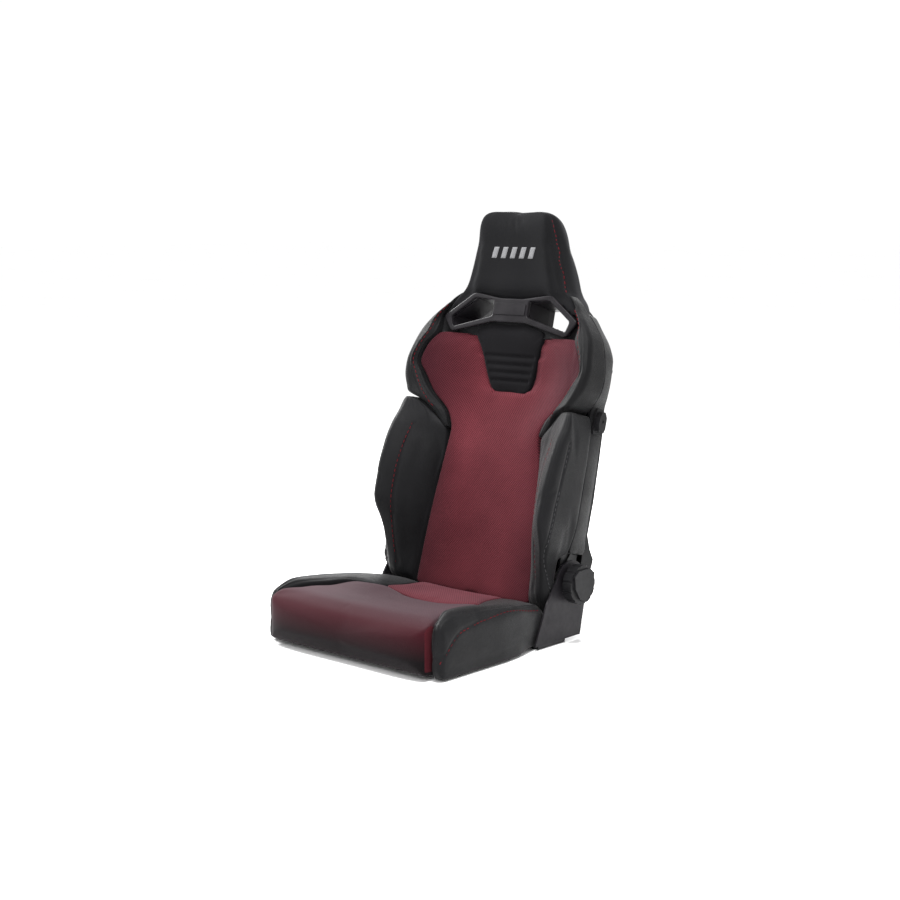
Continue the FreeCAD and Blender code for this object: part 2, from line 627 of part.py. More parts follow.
def headrest():
    """Head part of the foam, hollowed where the frame hoop runs through it."""
    rows = [(626, 164, 168, -48, -48, 19), (636, 152, 158, -49, -49, 20), (638, 151, 157, -64, -60, 20),
            (676, 134, 143, -74, -66, 14), (740, 116, 127, -86, -79, -8), (802, 98, 110, -97, -92, -34),
            ("head_top", 86, 97, -93, -91, -58)]
    stations = []
    for w, front_half, side_half, edge, middle, rear in rows:
        near = front_half * 0.5
        waist = (edge + rear) / 2
        right = [(front_half, edge), (side_half, waist), (front_half, rear)]
        left = [(-x, v) for x, v in reversed(right)]
        stations.append((str(w), [(-near, middle), (near, middle)] + right + left))
    foam = lofted("headrest_pad", "XY", stations).body
    bore = doc.addObject("Part::Feature", "hoop_bore")
    bore.Shape = swept_tube(number("tube_rad") + 0.4, hoop_route(), 30)
    keep("headrest_pad", cut(foam, bore), on_back=True)


# One harness opening, seen from the front: its corners at the front and at the rear of the backrest.
OPENING_FRONT = [(52, 580), (52, 617), (110, 621), (177, 574), (168, 550)]
OPENING_REAR = [(58, 572), (58, 611), (108, 614), (154, 578), (143, 555)]


def grown(corners, by):
    """An outline moved outwards by a margin, corner by corner."""
    middle_x = sum(x for x, w in corners) / len(corners)
    middle_w = sum(w for x, w in corners) / len(corners)
    result = []
    for x, w in corners:
        span = math.hypot(x - middle_x, w - middle_w)
        scale = 1 + by * 1.35 / span
        result.append((middle_x + (x - middle_x) * scale, middle_w + (w - middle_w) * scale))
    return result


def lofted_opening(name, grow, front, rear, sign):
    """Solid between the front and the rear outline of a harness opening."""
    stations = [(str(front), both_ways(sign, grown(OPENING_FRONT, grow))),
                (str(rear), both_ways(sign, grown(OPENING_REAR, grow)))]
    body = lofted(name, "XZ", stations).body
    del PARTS[name]
    return body


def harness_openings():
    """Front frame with its blank plate, a sleeve through each opening and the rear frame."""
    half = [(35, 622), (114, 634), (200, 574), (171, 538), (50, 566)]
    outline = half + [(-x, w) for x, w in reversed(half)]
    frame = Piece("harness_frame_front")
    frame.pad(frame.polygon(frame.sketch("XZ", "-49.6"), outline), "bezel_t")
    for side, sign in SIDES:
        frame.cut_through(frame.polygon(frame.sketch("XZ", "-50"), both_ways(sign, OPENING_FRONT)), "80")
    keep("harness_frame_front", frame.body, on_back=True)
    badge = [(-46, 583), (46, 583), (46, 610), (-46, 610)]
    plate("blank_plate", "XZ", "-49.6-bezel_t", "1.5", badge, on_back=True)
    for side, sign in SIDES:
        outer = lofted_opening("sleeve_outer", 3, -49.6, 14, sign)
        inner = lofted_opening("sleeve_inner", 0, -49.6, 14, sign)
        keep("harness_sleeve_" + side, cut(outer, inner), on_back=True)
    half = [(20, 618), (112, 622), (163, 580), (148, 545), (20, 560)]
    outline = half + [(-x, w) for x, w in reversed(half)]
    rear = Piece("harness_frame_rear")
    rear.pad(rear.polygon(rear.sketch("XZ", "34"), outline), "20-face_gap")
    for side, sign in SIDES:
        rear.cut_through(rear.polygon(rear.sketch("XZ", "24"), both_ways(sign, OPENING_REAR)), "80")
    keep("harness_frame_rear", rear.body, on_back=True)
    return grown(outline, 0.5)


def yoke(pocket):
    """Foam round the harness openings, behind their front frame, between shoulders and head."""
    stations = []
    for w, half in ((536.6, 204), (573, 205), (600, 187), (625.4, 166.5)):
        stations.append((str(w), [(-half, -49.1), (half, -49.1), (half, -22), (-half, -22)]))
    foam = cut(lofted("yoke_foam", "XY", stations).body, pocket)
    for side, sign in SIDES:
        foam = cut(foam, lofted_opening("yoke_opening", 3.5, -49.6, 14, sign))
    del PARTS["yoke_foam"]
    keep("yoke_pad", foam, on_back=True)


def back_shell(opening):
    """Thin cover over the back, open to the front and flared round the recliners."""
    rows = [(-40, 232, 44, 66), (0, 236, 44, 84), (40, 238, 44, 100), (58, 238, 44, 101), (78, 239, 40, 82),
            (110, 240, 34, 63), (190, 241, 33, 64), (282, 240, 33, 62), (346, 238, 33, 61), (395, 236, 33, 56),
            (441, 238, 33, 56), (484, 240, 33, 59), (516, 232, 33, 56), (546, 218, 31, 38), (575, 198, 30, 36),
            (600, 178, 28, 35), (624, 152, 24, 33)]
    outer = []
    inner = []
    for w, half, front, rear in rows:
        wall = number("shell_wall")
        chamfer = min(14, (rear - front) * 0.6)
        outer.append((str(w), [(-half, front), (half, front), (half, rear - chamfer), (half - chamfer, rear),
                               (chamfer - half, rear), (-half, rear - chamfer)]))
        near = half - wall
        back = rear - wall
        inner.append((str(w), [(-near, front - 5), (near, front - 5), (near, back - chamfer),
                               (near - chamfer, back), (chamfer - near, back), (-near, back - chamfer)]))
    inner[0] = ("-40+shell_wall", inner[0][1])
    inner[-1] = ("624-shell_wall", inner[-1][1])
    skin = cut(lofted("shell_outer", "XY", outer).body, lofted("shell_inner", "XY", inner).body)
    prism = Piece("shell_window")
    prism.pad(prism.polygon(prism.sketch("XZ", "80"), opening), "90")
    for name in ("shell_outer", "shell_inner", "shell_window"):
        del PARTS[name]
    keep("back_shell", cut(skin, prism.body), on_back=True)


def side_covers():
    """Padded side panels from the rear edge of the bolsters to the front edge of the shell."""
    rows = [(64, 250, 246, 39), (78, 252, 247, 38), (110, 258, 248, 33), (128, 260, 249, 32), (187, 261, 249, 32),
            (300, 258, 248, 32), (343, 252, 246, 32), (371, 250, 244, 32), (390, 251, 244, 32),
            (424, 268, 248, 32), (454, 272, 250, 32), (502, 264, 248, 32), (536, 253, 234, 31),
            (573, 227, 206, 29), (600, 202, 186, 27)]
    for side, sign in SIDES:
        stations = []
        for w, front_half, rear_half, rear in rows:
            corners = [(front_half, -23), (rear_half, rear), (rear_half - 7, rear), (front_half - 10, -23)]
            stations.append((str(w), both_ways(sign, corners)))
        lofted("side_cover_" + side, "XY", stations, on_back=True)


def release():
    """Shoulder lever with its surround and pivot."""
    surround = [("-12", "lever_w-30"), ("18", "lever_w-30"), ("22", "lever_w-20"), ("22", "lever_w+18"),
                ("12", "lever_w+28"), ("-8", "lever_w+28"), ("-14", "lever_w+16"), ("-14", "lever_w-22")]
    plate("lever_surround", "YZ", "surround_x", "surround_t", surround,
          holes=[("0", "lever_w", "pin_rad")], on_back=True)
    tab = [("-10", "lever_w+8"), ("-12", "lever_w-6"), ("-9", "lever_w-22"), ("10", "lever_w-24"),
           ("14", "lever_w-14"), ("14", "lever_w+10"), ("6", "lever_w+22"), ("-5", "lever_w+20")]
    plate("release_lever", "YZ", "surround_x+surround_t+face_gap", "lever_t", tab,
          holes=[("0", "lever_w", "pin_rad+run_fit")], on_back=True)
    pin = cylinder("pin_rad", "surround_t+face_gap+lever_t-2", (1, 0, 0), "surround_x", "0", "lever_w")
    keep("lever_pivot", group([pin]), on_back=True)


def main():
    """Build every sub-part, check it and write it out."""
    base_rails()
    base_cross_members()
    seat_pan()
    seat_springs()
    side_brackets()
    recliners()
    cushion()
    hand_wheels()
    back_frame()
    insert_pocket = back_panel()
    back_bolsters()
    headrest()
    back_shell(harness_openings())
    yoke(insert_pocket)
    side_covers()
    release()
    doc.recompute()
    for thing in doc.Objects:
        if "Invalid" in thing.State or "Error" in thing.State:
            raise RuntimeError("%s did not build: %s" % (thing.Label, thing.State))
    for name, thing in PARTS.items():
        shape = thing.Shape
        if shape.isNull() or not shape.isValid() or not shape.Solids:
            raise RuntimeError("%s has no valid solid" % name)
    os.makedirs("parts", exist_ok=True)
    for name, thing in PARTS.items():
        thing.Shape.exportStep("parts/%s.step" % name)
    print("%d sub-parts written" % len(PARTS))


main()
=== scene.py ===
import json
import math

import bmesh
import bpy
import numpy as np
from mathutils import Matrix, Vector
from mathutils.bvhtree import BVHTree
from mathutils.kdtree import KDTree


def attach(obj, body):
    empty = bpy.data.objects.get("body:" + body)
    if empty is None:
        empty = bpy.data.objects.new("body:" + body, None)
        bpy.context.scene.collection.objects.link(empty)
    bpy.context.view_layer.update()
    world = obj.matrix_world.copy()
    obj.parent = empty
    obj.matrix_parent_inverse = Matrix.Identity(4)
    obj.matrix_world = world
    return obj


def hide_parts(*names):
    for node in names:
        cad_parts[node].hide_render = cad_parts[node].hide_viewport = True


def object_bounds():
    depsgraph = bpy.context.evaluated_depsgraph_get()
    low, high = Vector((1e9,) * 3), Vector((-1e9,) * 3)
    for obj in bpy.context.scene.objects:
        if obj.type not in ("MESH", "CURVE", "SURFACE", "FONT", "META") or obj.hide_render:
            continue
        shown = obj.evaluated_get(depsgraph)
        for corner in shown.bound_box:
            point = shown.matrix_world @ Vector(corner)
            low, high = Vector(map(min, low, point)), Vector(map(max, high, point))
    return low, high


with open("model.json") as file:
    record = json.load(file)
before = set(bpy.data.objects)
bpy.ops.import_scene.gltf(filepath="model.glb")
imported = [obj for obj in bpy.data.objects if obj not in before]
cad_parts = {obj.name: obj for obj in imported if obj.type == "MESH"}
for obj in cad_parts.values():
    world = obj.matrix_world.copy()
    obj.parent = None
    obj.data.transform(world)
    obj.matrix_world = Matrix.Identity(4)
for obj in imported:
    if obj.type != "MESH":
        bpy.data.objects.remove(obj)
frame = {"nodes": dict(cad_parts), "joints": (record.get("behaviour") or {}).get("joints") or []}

cad_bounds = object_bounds()

# ---------------------------------------------------------------- frame facts

MM = 0.001
RECLINE = next(joint for joint in frame["joints"] if joint["name"] == "recline")
HINGE = Vector(RECLINE["pos_m"])
LEAN = math.radians(14)
SIDES = (("left", -1), ("right", 1))


def on_back(x, v, w):
    """A point of the leaning backrest, in metres, from millimetres across, behind and above the hinge."""
    y = v * math.cos(LEAN) + w * math.sin(LEAN)
    z = w * math.cos(LEAN) - v * math.sin(LEAN)
    return Vector((x * MM, HINGE.y + y * MM, HINGE.z + z * MM))


def on_base(x, z, y):
    """A point of the cushion, in metres, from a cross section's x and z and its place y."""
    return Vector((x * MM, y * MM, z * MM))


# ---------------------------------------------------------------- curves and rings

def smooth_rows(places, rows, spacing):
    """Rows of numbers read along a smooth curve that keeps to them without overshoot."""
    places = np.array(places, float)
    rows = np.array(rows, float)
    steps = np.diff(places)
    slopes = np.diff(rows, axis=0) / steps[:, None]
    tangents = np.zeros_like(rows)
    tangents[0] = slopes[0]
    tangents[-1] = slopes[-1]
    for i in range(1, len(places) - 1):
        same = slopes[i - 1] * slopes[i] > 0
        weight_a = 2 * steps[i] + steps[i - 1]
        weight_b = steps[i] + 2 * steps[i - 1]
        with np.errstate(divide="ignore", invalid="ignore"):
            mean = (weight_a + weight_b) / (weight_a / slopes[i - 1] + weight_b / slopes[i])
        tangents[i] = np.where(same, mean, 0.0)
    count = max(2, int(round((places[-1] - places[0]) / spacing)) + 1)
    fine = np.linspace(places[0], places[-1], count)
    result = []
    for s in fine:
        i = min(int(np.searchsorted(places, s, side="right")) - 1, len(steps) - 1)
        t = (s - places[i]) / steps[i]
        a = (1 + 2 * t) * (1 - t) ** 2
        b = t * (1 - t) ** 2
        c = t * t * (3 - 2 * t)
        d = t * t * (t - 1)
        ends = a * rows[i] + c * rows[i + 1]
        result.append(ends + steps[i] * (b * tangents[i] + d * tangents[i + 1]))
    return fine, np.array(result)


def ring_points(corners, counts):
    """A closed outline with rounded corners and crowned edges.

    Each corner is (a, b, radius, crown): the crown bulges the edge that follows it.
    """
    size = len(corners)
    points = np.array([(c[0], c[1]) for c in corners])
    centre = points.mean(axis=0)
    trims = []
    for i in range(size):
        before = points[i - 1] - points[i]
        after = points[(i + 1) % size] - points[i]
        limit = 0.45 * min(np.hypot(*before), np.hypot(*after))
        trims.append(min(corners[i][2], limit))
    result = []
    for i in range(size):
        here = points[i]
        before = points[i - 1] - here
        after = points[(i + 1) % size] - here
        start = here + before / max(np.hypot(*before), 1e-9) * trims[i]
        end = here + after / max(np.hypot(*after), 1e-9) * trims[i]
        for t in (0.0, 0.25, 0.5, 0.75):
            result.append((1 - t) ** 2 * start + 2 * t * (1 - t) * here + t * t * end)
        following = points[(i + 1) % size]
        back = here - following
        last = following + back / max(np.hypot(*back), 1e-9) * trims[(i + 1) % size]
        run = last - end
        outward = np.array((run[1], -run[0]))
        if np.dot(outward, (end + last) / 2 - centre) < 0:
            outward = -outward
        outward = outward / max(np.hypot(*outward), 1e-9)
        for k in range(counts[i]):
            t = k / counts[i]
            result.append(end + run * t + outward * corners[i][3] * 4 * t * (1 - t))
    return np.array(result)


def ring_counts(stations, spacing):
    """How many points each edge of the outline gets, the same at every station."""
    longest = np.zeros(len(stations[0][1]))
    for s, corners in stations:
        for i, corner in enumerate(corners):
            following = corners[(i + 1) % len(corners)]
            longest[i] = max(longest[i], math.hypot(corner[0] - following[0], corner[1] - following[1]))
    return [max(2, int(round(length / spacing))) for length in longest]


def make_mesh(name, points, faces):
    """A mesh object from points and faces, its normals turned outwards."""
    mesh = bpy.data.meshes.new(name)
    mesh.from_pydata([tuple(p) for p in points], [], faces)
    mesh.update()
    obj = bpy.data.objects.new(name, mesh)
    bpy.context.scene.collection.objects.link(obj)
    work = bmesh.new()
    work.from_mesh(mesh)
    bmesh.ops.remove_doubles(work, verts=work.verts, dist=1e-6)
    bmesh.ops.recalc_face_normals(work, faces=work.faces)
    work.to_mesh(mesh)
    work.free()
    for polygon in mesh.polygons:
        polygon.use_smooth = True
    return obj


def foam(name, put, stations, spacing=7.0, caps=(8.0, 8.0)):
    """A closed padded form through rounded cross sections, its two ends rounded by caps."""
    stations = [(s, [tuple(c) + (0.0,) * (4 - len(c)) for c in corners]) for s, corners in stations]
    counts = ring_counts(stations, spacing)
    places = [s for s, corners in stations]
    rows = [np.array(corners).ravel() for s, corners in stations]
    fine, table = smooth_rows(places, rows, spacing)
    rings = []
    for s, row in zip(fine, table):
        rings.append((s, ring_points(row.reshape(-1, 4), counts)))
    capped = []
    for s, ring in rings:
        inset = 0.0
        for end, cap in zip((fine[0], fine[-1]), caps):
            depth = abs(s - end)
            if depth < cap:
                inset = max(inset, cap - math.sqrt(max(cap * cap - (cap - depth) ** 2, 0.0)))
        centre = ring.mean(axis=0)
        reach = np.hypot(*(ring - centre).T)[:, None]
        scale = np.clip(1 - inset / np.maximum(reach, 1e-6), 0.05, 1)
        capped.append((s, centre + (ring - centre) * scale))
    points = []
    faces = []
    width = len(capped[0][1])
    for s, ring in capped:
        points += [put(a, b, s) for a, b in ring]
    for j in range(len(capped) - 1):
        for i in range(width):
            k = (i + 1) % width
            faces.append((j * width + i, j * width + k, (j + 1) * width + k, (j + 1) * width + i))
    for j in (0, len(capped) - 1):
        s, ring = capped[j]
        centre = ring.mean(axis=0)
        outer = [j * width + i for i in range(width)]
        for scale in (0.75, 0.5, 0.25):
            inner = list(range(len(points), len(points) + width))
            points += [put(*(centre + (p - centre) * scale), s) for p in ring]
            for i in range(width):
                k = (i + 1) % width
                faces.append((outer[i], outer[k], inner[k], inner[i]))
            outer = inner
        for k in range(width // 2 - 1):
            faces.append((outer[k], outer[k + 1], outer[width - 2 - k], outer[width - 1 - k]))
        if width % 2:
            k = width // 2 - 1
            faces.append((outer[k], outer[k + 1], outer[k + 2]))
    return make_mesh(name, points, faces)


# ---------------------------------------------------------------- work on finished forms

def mirrored(piece, name):
    """A copy of a piece on the other side of the seat."""
    mesh = piece.data.copy()
    mesh.name = name
    mesh.transform(Matrix.Scale(-1, 4, Vector((1, 0, 0))))
    mesh.flip_normals()
    obj = bpy.data.objects.new(name, mesh)
    bpy.context.scene.collection.objects.link(obj)
    return obj


def as_tree(piece):
    """A search tree over a piece's faces."""
    mesh = piece.data
    return BVHTree.FromPolygons([v.co for v in mesh.vertices], [p.vertices[:] for p in mesh.polygons])


def bake(piece):
    """Replaces a piece's mesh with what its modifiers make of it."""
    bpy.context.view_layer.update()
    graph = bpy.context.evaluated_depsgraph_get()
    mesh = bpy.data.meshes.new_from_object(piece.evaluated_get(graph))
    piece.modifiers.clear()
    piece.data = mesh
    for polygon in mesh.polygons:
        polygon.use_smooth = True


def puff(pieces, cap, held, pressure=4.0):
    """Swells padded pieces by cloth simulation; held says which points the seams and frame keep."""
    last_frame = 20
    starts = []
    for piece in pieces:
        starts.append(np.array([v.co for v in piece.data.vertices]))
        group = piece.vertex_groups.new(name="held")
        group.add([v.index for v in piece.data.vertices if held(v.co, v.normal)], 1.0, "REPLACE")
        cloth = piece.modifiers.new("Cloth", "CLOTH")
        cloth.settings.use_pressure = True
        cloth.settings.uniform_pressure_force = pressure
        cloth.settings.effector_weights.gravity = 0.0
        cloth.settings.vertex_group_mass = "held"
        cloth.settings.tension_stiffness = 12
        cloth.settings.compression_stiffness = 12
        cloth.settings.bending_stiffness = 1.5
        cloth.settings.quality = 6
    scene = bpy.context.scene
    scene.frame_start = 1
    scene.frame_end = last_frame
    for frame_number in range(1, last_frame + 1):
        scene.frame_set(frame_number)
    graph = bpy.context.evaluated_depsgraph_get()
    for piece, start in zip(pieces, starts):
        swollen = piece.evaluated_get(graph).to_mesh()
        moved = np.array([v.co for v in swollen.vertices]) - start
        reach = np.linalg.norm(moved, axis=1)[:, None]
        moved *= cap / np.maximum(reach + cap, 1e-9)
        piece.evaluated_get(graph).to_mesh_clear()
        piece.modifiers.clear()
        piece.vertex_groups.clear()
        for vertex, place in zip(piece.data.vertices, start + moved):
            vertex.co = place
    scene.frame_set(1)
    for piece in pieces:
        piece.modifiers.new("Finer", "SUBSURF").levels = 1
        bake(piece)


def fine_line(points, spacing=0.004):
    """Evenly spaced points along a smooth curve through the given ones."""
    points = [Vector(p) for p in points]
    lengths = [0.0]
    for a, b in zip(points, points[1:]):
        lengths.append(lengths[-1] + (b - a).length)
    if len(points) == 2:
        count = max(2, int(lengths[-1] / spacing))
        return [points[0].lerp(points[1], i / count) for i in range(count + 1)]
    fine, table = smooth_rows(lengths, [tuple(p) for p in points], spacing)
    return [Vector(row) for row in table]


def laid(piece, points, spacing=0.004):
    """A line dropped on the nearest skin of a piece, as (place, normal) pairs."""
    tree = as_tree(piece)
    result = []
    for point in fine_line(points, spacing):
        place, normal, face, distance = tree.find_nearest(point)
        result.append((place, normal))
    smoothings = 4
    for turn in range(smoothings):
        smoothed = [result[0]]
        for before, here, after in zip(result, result[1:], result[2:]):
            smoothed.append(tuple((a + b * 2 + c) / 4 for a, b, c in zip(before, here, after)))
        result = smoothed + [result[-1]]
    return result


def groove(piece, lines, width=0.004, depth=0.003):
    """Presses seams into a padded piece along lines near its skin."""
    marks = [p for line in lines for p in fine_line(line, width * 0.5)]
    tree = KDTree(len(marks))
    for index, mark in enumerate(marks):
        tree.insert(mark, index)
    tree.balance()
    mesh = piece.data
    for vertex in mesh.vertices:
        nearest, index, gap = tree.find(vertex.co)
        if gap < 3 * width:
            vertex.co = vertex.co - vertex.normal * depth * math.exp(-(gap / width) ** 2)
    mesh.update()


def stitches(name, line, length=0.0042, gap=0.0022, radius=0.0008, lift=0.0006):
    """A row of thread stitches along a laid line, which starts anew after a jump in the line."""
    longest_step = 0.02
    points = []
    faces = []
    travelled = 0.0
    segments = []
    places = [p + n * lift for p, n in line]
    normals = [n for p, n in line]
    start = None
    for i in range(1, len(places)):
        step = (places[i] - places[i - 1]).length
        if step > longest_step:
            start = None
            continue
        travelled += step
        if start is None:
            start = (places[i], normals[i])
            travelled = 0.0
        elif travelled >= length:
            segments.append((start[0], places[i], normals[i]))
            start = None
            travelled = -gap
    for a, b, normal in segments:
        along = (b - a).normalized()
        side = along.cross(normal).normalized()
        base = len(points)
        for t, size in ((0.0, 0.35), (0.2, 1.0), (0.8, 1.0), (1.0, 0.35)):
            middle = a.lerp(b, t) + normal * radius * (0.5 * math.sin(math.pi * t) - 0.2)
            for k in range(6):
                angle = k * math.pi / 3
                points.append(middle + (side * math.cos(angle) + normal * math.sin(angle)) * radius * size)
        for j in range(3):
            for k in range(6):
                n = (k + 1) % 6
                corner = base + j * 6
                faces.append((corner + k, corner + n, corner + 6 + n, corner + 6 + k))
        faces.append(tuple(base + k for k in reversed(range(6))))
        faces.append(tuple(base + 18 + k for k in range(6)))
    return make_mesh(name, points, faces)


def rounded(corners, radius, steps=6):
    """A closed outline in (x, w) with its corners rounded."""
    result = []
    for i, corner in enumerate(corners):
        here = Vector(corner)
        before = Vector(corners[i - 1]) - here
        after = Vector(corners[(i + 1) % len(corners)]) - here
        start = here + before.normalized() * min(radius, 0.45 * before.length)
        end = here + after.normalized() * min(radius, 0.45 * after.length)
        for k in range(steps + 1):
            t = k / steps
            result.append((1 - t) ** 2 * start + 2 * t * (1 - t) * here + t * t * end)
    return result


def moulding(name, outlines, front, depth, bevel):
    """A plate across the backrest with rounded edges: its outline, then its openings, in (x, w)."""
    curve = bpy.data.curves.new(name + "_outline", "CURVE")
    curve.dimensions = "2D"
    curve.fill_mode = "BOTH"
    curve.extrude = (depth / 2 - bevel) * MM
    curve.bevel_depth = bevel * MM
    curve.bevel_resolution = 3
    curve.offset = -bevel * MM
    for outline in outlines:
        spline = curve.splines.new("POLY")
        spline.points.add(len(outline) - 1)
        spline.use_cyclic_u = True
        for point, (x, w) in zip(spline.points, outline):
            point.co = (x * MM, w * MM, 0, 1)
    holder = bpy.data.objects.new(name + "_outline", curve)
    bpy.context.scene.collection.objects.link(holder)
    bpy.context.view_layer.update()
    mesh = bpy.data.meshes.new_from_object(holder)
    bpy.data.objects.remove(holder)
    for vertex in mesh.vertices:
        x, w, t = vertex.co
        vertex.co = on_back(x / MM, front + depth / 2 - t / MM, w / MM)
    mesh.name = name
    obj = bpy.data.objects.new(name, mesh)
    bpy.context.scene.collection.objects.link(obj)
    obj.modifiers.new("Creases", "EDGE_SPLIT").split_angle = math.radians(40)
    bake(obj)
    return obj


def embroidered(name, piece, outline, lift, columns=10, rows=16):
    """Raised satin stitching on the front of a padded piece: four (x, w) corners in order."""
    tree = as_tree(piece)
    rearward = (on_back(0, 1, 0) - on_back(0, 0, 0)).normalized()
    points = []
    faces = []
    lower_left, lower_right, upper_right, upper_left = [Vector(corner) for corner in outline]
    for j in range(rows + 1):
        for i in range(columns + 1):
            low = lower_left.lerp(lower_right, i / columns)
            high = upper_left.lerp(upper_right, i / columns)
            x, w = low.lerp(high, j / rows)
            place, normal, face, distance = tree.ray_cast(on_back(x, -300, w), rearward)
            rim = min(i, columns - i, j, rows - j)
            ridge = 0.12 if j % 2 else 0.0
            points.append(place - rearward * (lift * min(rim, 1.5) / 1.5 + ridge - 0.3) * MM)
    width = columns + 1
    for j in range(rows):
        for i in range(columns):
            corner = j * width + i
            faces.append((corner, corner + 1, corner + width + 1, corner + width))
    return make_mesh(name, points, faces)


# ---------------------------------------------------------------- materials

class Finish:
    """Builds one procedural material from nodes."""

    def __init__(self, name, roughness=0.5, metallic=0.0, sheen=0.0, sheen_tint=(1, 1, 1), coat=0.0,
                 specular=0.5):
        self.material = bpy.data.materials.new(name)
        self.material.use_nodes = True
        self.tree = self.material.node_tree
        self.tree.nodes.clear()
        self.shader = self.tree.nodes.new("ShaderNodeBsdfPrincipled")
        output = self.tree.nodes.new("ShaderNodeOutputMaterial")
        self.join(self.shader.outputs[0], output.inputs[0])
        self.shader.inputs["Roughness"].default_value = roughness
        self.shader.inputs["Metallic"].default_value = metallic
        self.shader.inputs["Sheen Weight"].default_value = sheen
        self.shader.inputs["Sheen Roughness"].default_value = 0.45
        self.shader.inputs["Sheen Tint"].default_value = (*sheen_tint, 1)
        self.shader.inputs["Coat Weight"].default_value = coat
        self.shader.inputs["Coat Roughness"].default_value = 0.3
        self.shader.inputs["Specular IOR Level"].default_value = specular
        self.place = self.tree.nodes.new("ShaderNodeTexCoord").outputs["Object"]
        self.height = None

    def join(self, output, socket):
        self.tree.links.new(output, socket)

    def put(self, value, socket):
        if hasattr(value, "is_output"):
            self.join(value, socket)
        else:
            socket.default_value = value

    def sums(self, operation, a, b=0.0, clamp=False):
        node = self.tree.nodes.new("ShaderNodeMath")
        node.operation = operation
        node.use_clamp = clamp
        self.put(a, node.inputs[0])
        self.put(b, node.inputs[1])
        return node.outputs[0]

    def noise(self, scale, detail=3.0, stretch=None):
        node = self.tree.nodes.new("ShaderNodeTexNoise")
        node.inputs["Scale"].default_value = scale
        node.inputs["Detail"].default_value = detail
        source = self.place
        if stretch:
            mapping = self.tree.nodes.new("ShaderNodeMapping")
            mapping.inputs["Scale"].default_value = stretch
            self.join(source, mapping.inputs[0])
            source = mapping.outputs[0]
        self.join(source, node.inputs["Vector"])
        return node.outputs[0]

    def cells(self, scale):
        node = self.tree.nodes.new("ShaderNodeTexVoronoi")
        node.feature = "DISTANCE_TO_EDGE"
        node.inputs["Scale"].default_value = scale
        self.join(self.place, node.inputs["Vector"])
        return node.outputs["Distance"]

    def weave(self, pitch, first, second):
        """Over-and-under threads that repeat along two directions, from 0 to 1."""
        waves = []
        for direction in (first, second):
            node = self.tree.nodes.new("ShaderNodeVectorMath")
            node.operation = "DOT_PRODUCT"
            node.inputs[1].default_value = [2 * math.pi / pitch * c for c in direction]
            self.join(self.place, node.inputs[0])
            waves.append(self.sums("SINE", node.outputs["Value"]))
        half = self.sums("MULTIPLY", self.sums("MULTIPLY", waves[0], waves[1]), 0.5)
        return self.sums("ADD", half, 0.5, clamp=True)

    def across(self, axis, low, high):
        """How far along an axis of the object a point is, from 0 at low to 1 at high."""
        split = self.tree.nodes.new("ShaderNodeSeparateXYZ")
        self.join(self.place, split.inputs[0])
        node = self.tree.nodes.new("ShaderNodeMapRange")
        node.inputs["From Min"].default_value = low
        node.inputs["From Max"].default_value = high
        self.join(split.outputs["XYZ".index(axis)], node.inputs["Value"])
        return node.outputs[0]

    def mix(self, factor, a, b):
        node = self.tree.nodes.new("ShaderNodeMix")
        node.data_type = "RGBA"
        self.put(factor, node.inputs["Factor"])
        for value, socket in ((a, node.inputs[6]), (b, node.inputs[7])):
            self.put((*value, 1) if isinstance(value, tuple) else value, socket)
        return node.outputs[2]

    def span(self, value, low, high, out_low, out_high):
        node = self.tree.nodes.new("ShaderNodeMapRange")
        limits = {"From Min": low, "From Max": high, "To Min": out_low, "To Max": out_high}
        for name, number in limits.items():
            node.inputs[name].default_value = number
        self.join(value, node.inputs["Value"])
        return node.outputs[0]

    def worn(self, colour, light, strength=0.35):
        """Paler, rubbed edges where the surface bends outwards."""
        geometry = self.tree.nodes.new("ShaderNodeNewGeometry")
        edge = self.span(geometry.outputs["Pointiness"], 0.52, 0.62, 0.0, strength)
        broken = self.sums("MULTIPLY", edge, self.span(self.noise(90.0), 0.35, 0.65, 0.2, 1.0))
        return self.mix(broken, colour, light)

    def colour(self, value):
        self.put((*value, 1) if isinstance(value, tuple) else value, self.shader.inputs["Base Color"])

    def rough(self, value):
        self.put(value, self.shader.inputs["Roughness"])

    def bump(self, height, distance=0.0004, strength=0.6):
        node = self.tree.nodes.new("ShaderNodeBump")
        node.inputs["Strength"].default_value = strength
        node.inputs["Distance"].default_value = distance
        self.join(height, node.inputs["Height"])
        self.join(node.outputs[0], self.shader.inputs["Normal"])


ACROSS = (1.0, 0.0, 0.0)
UP_BACK = (0.0, math.sin(LEAN), math.cos(LEAN))
ALONG_SEAT = (0.0, 0.8, -0.8)


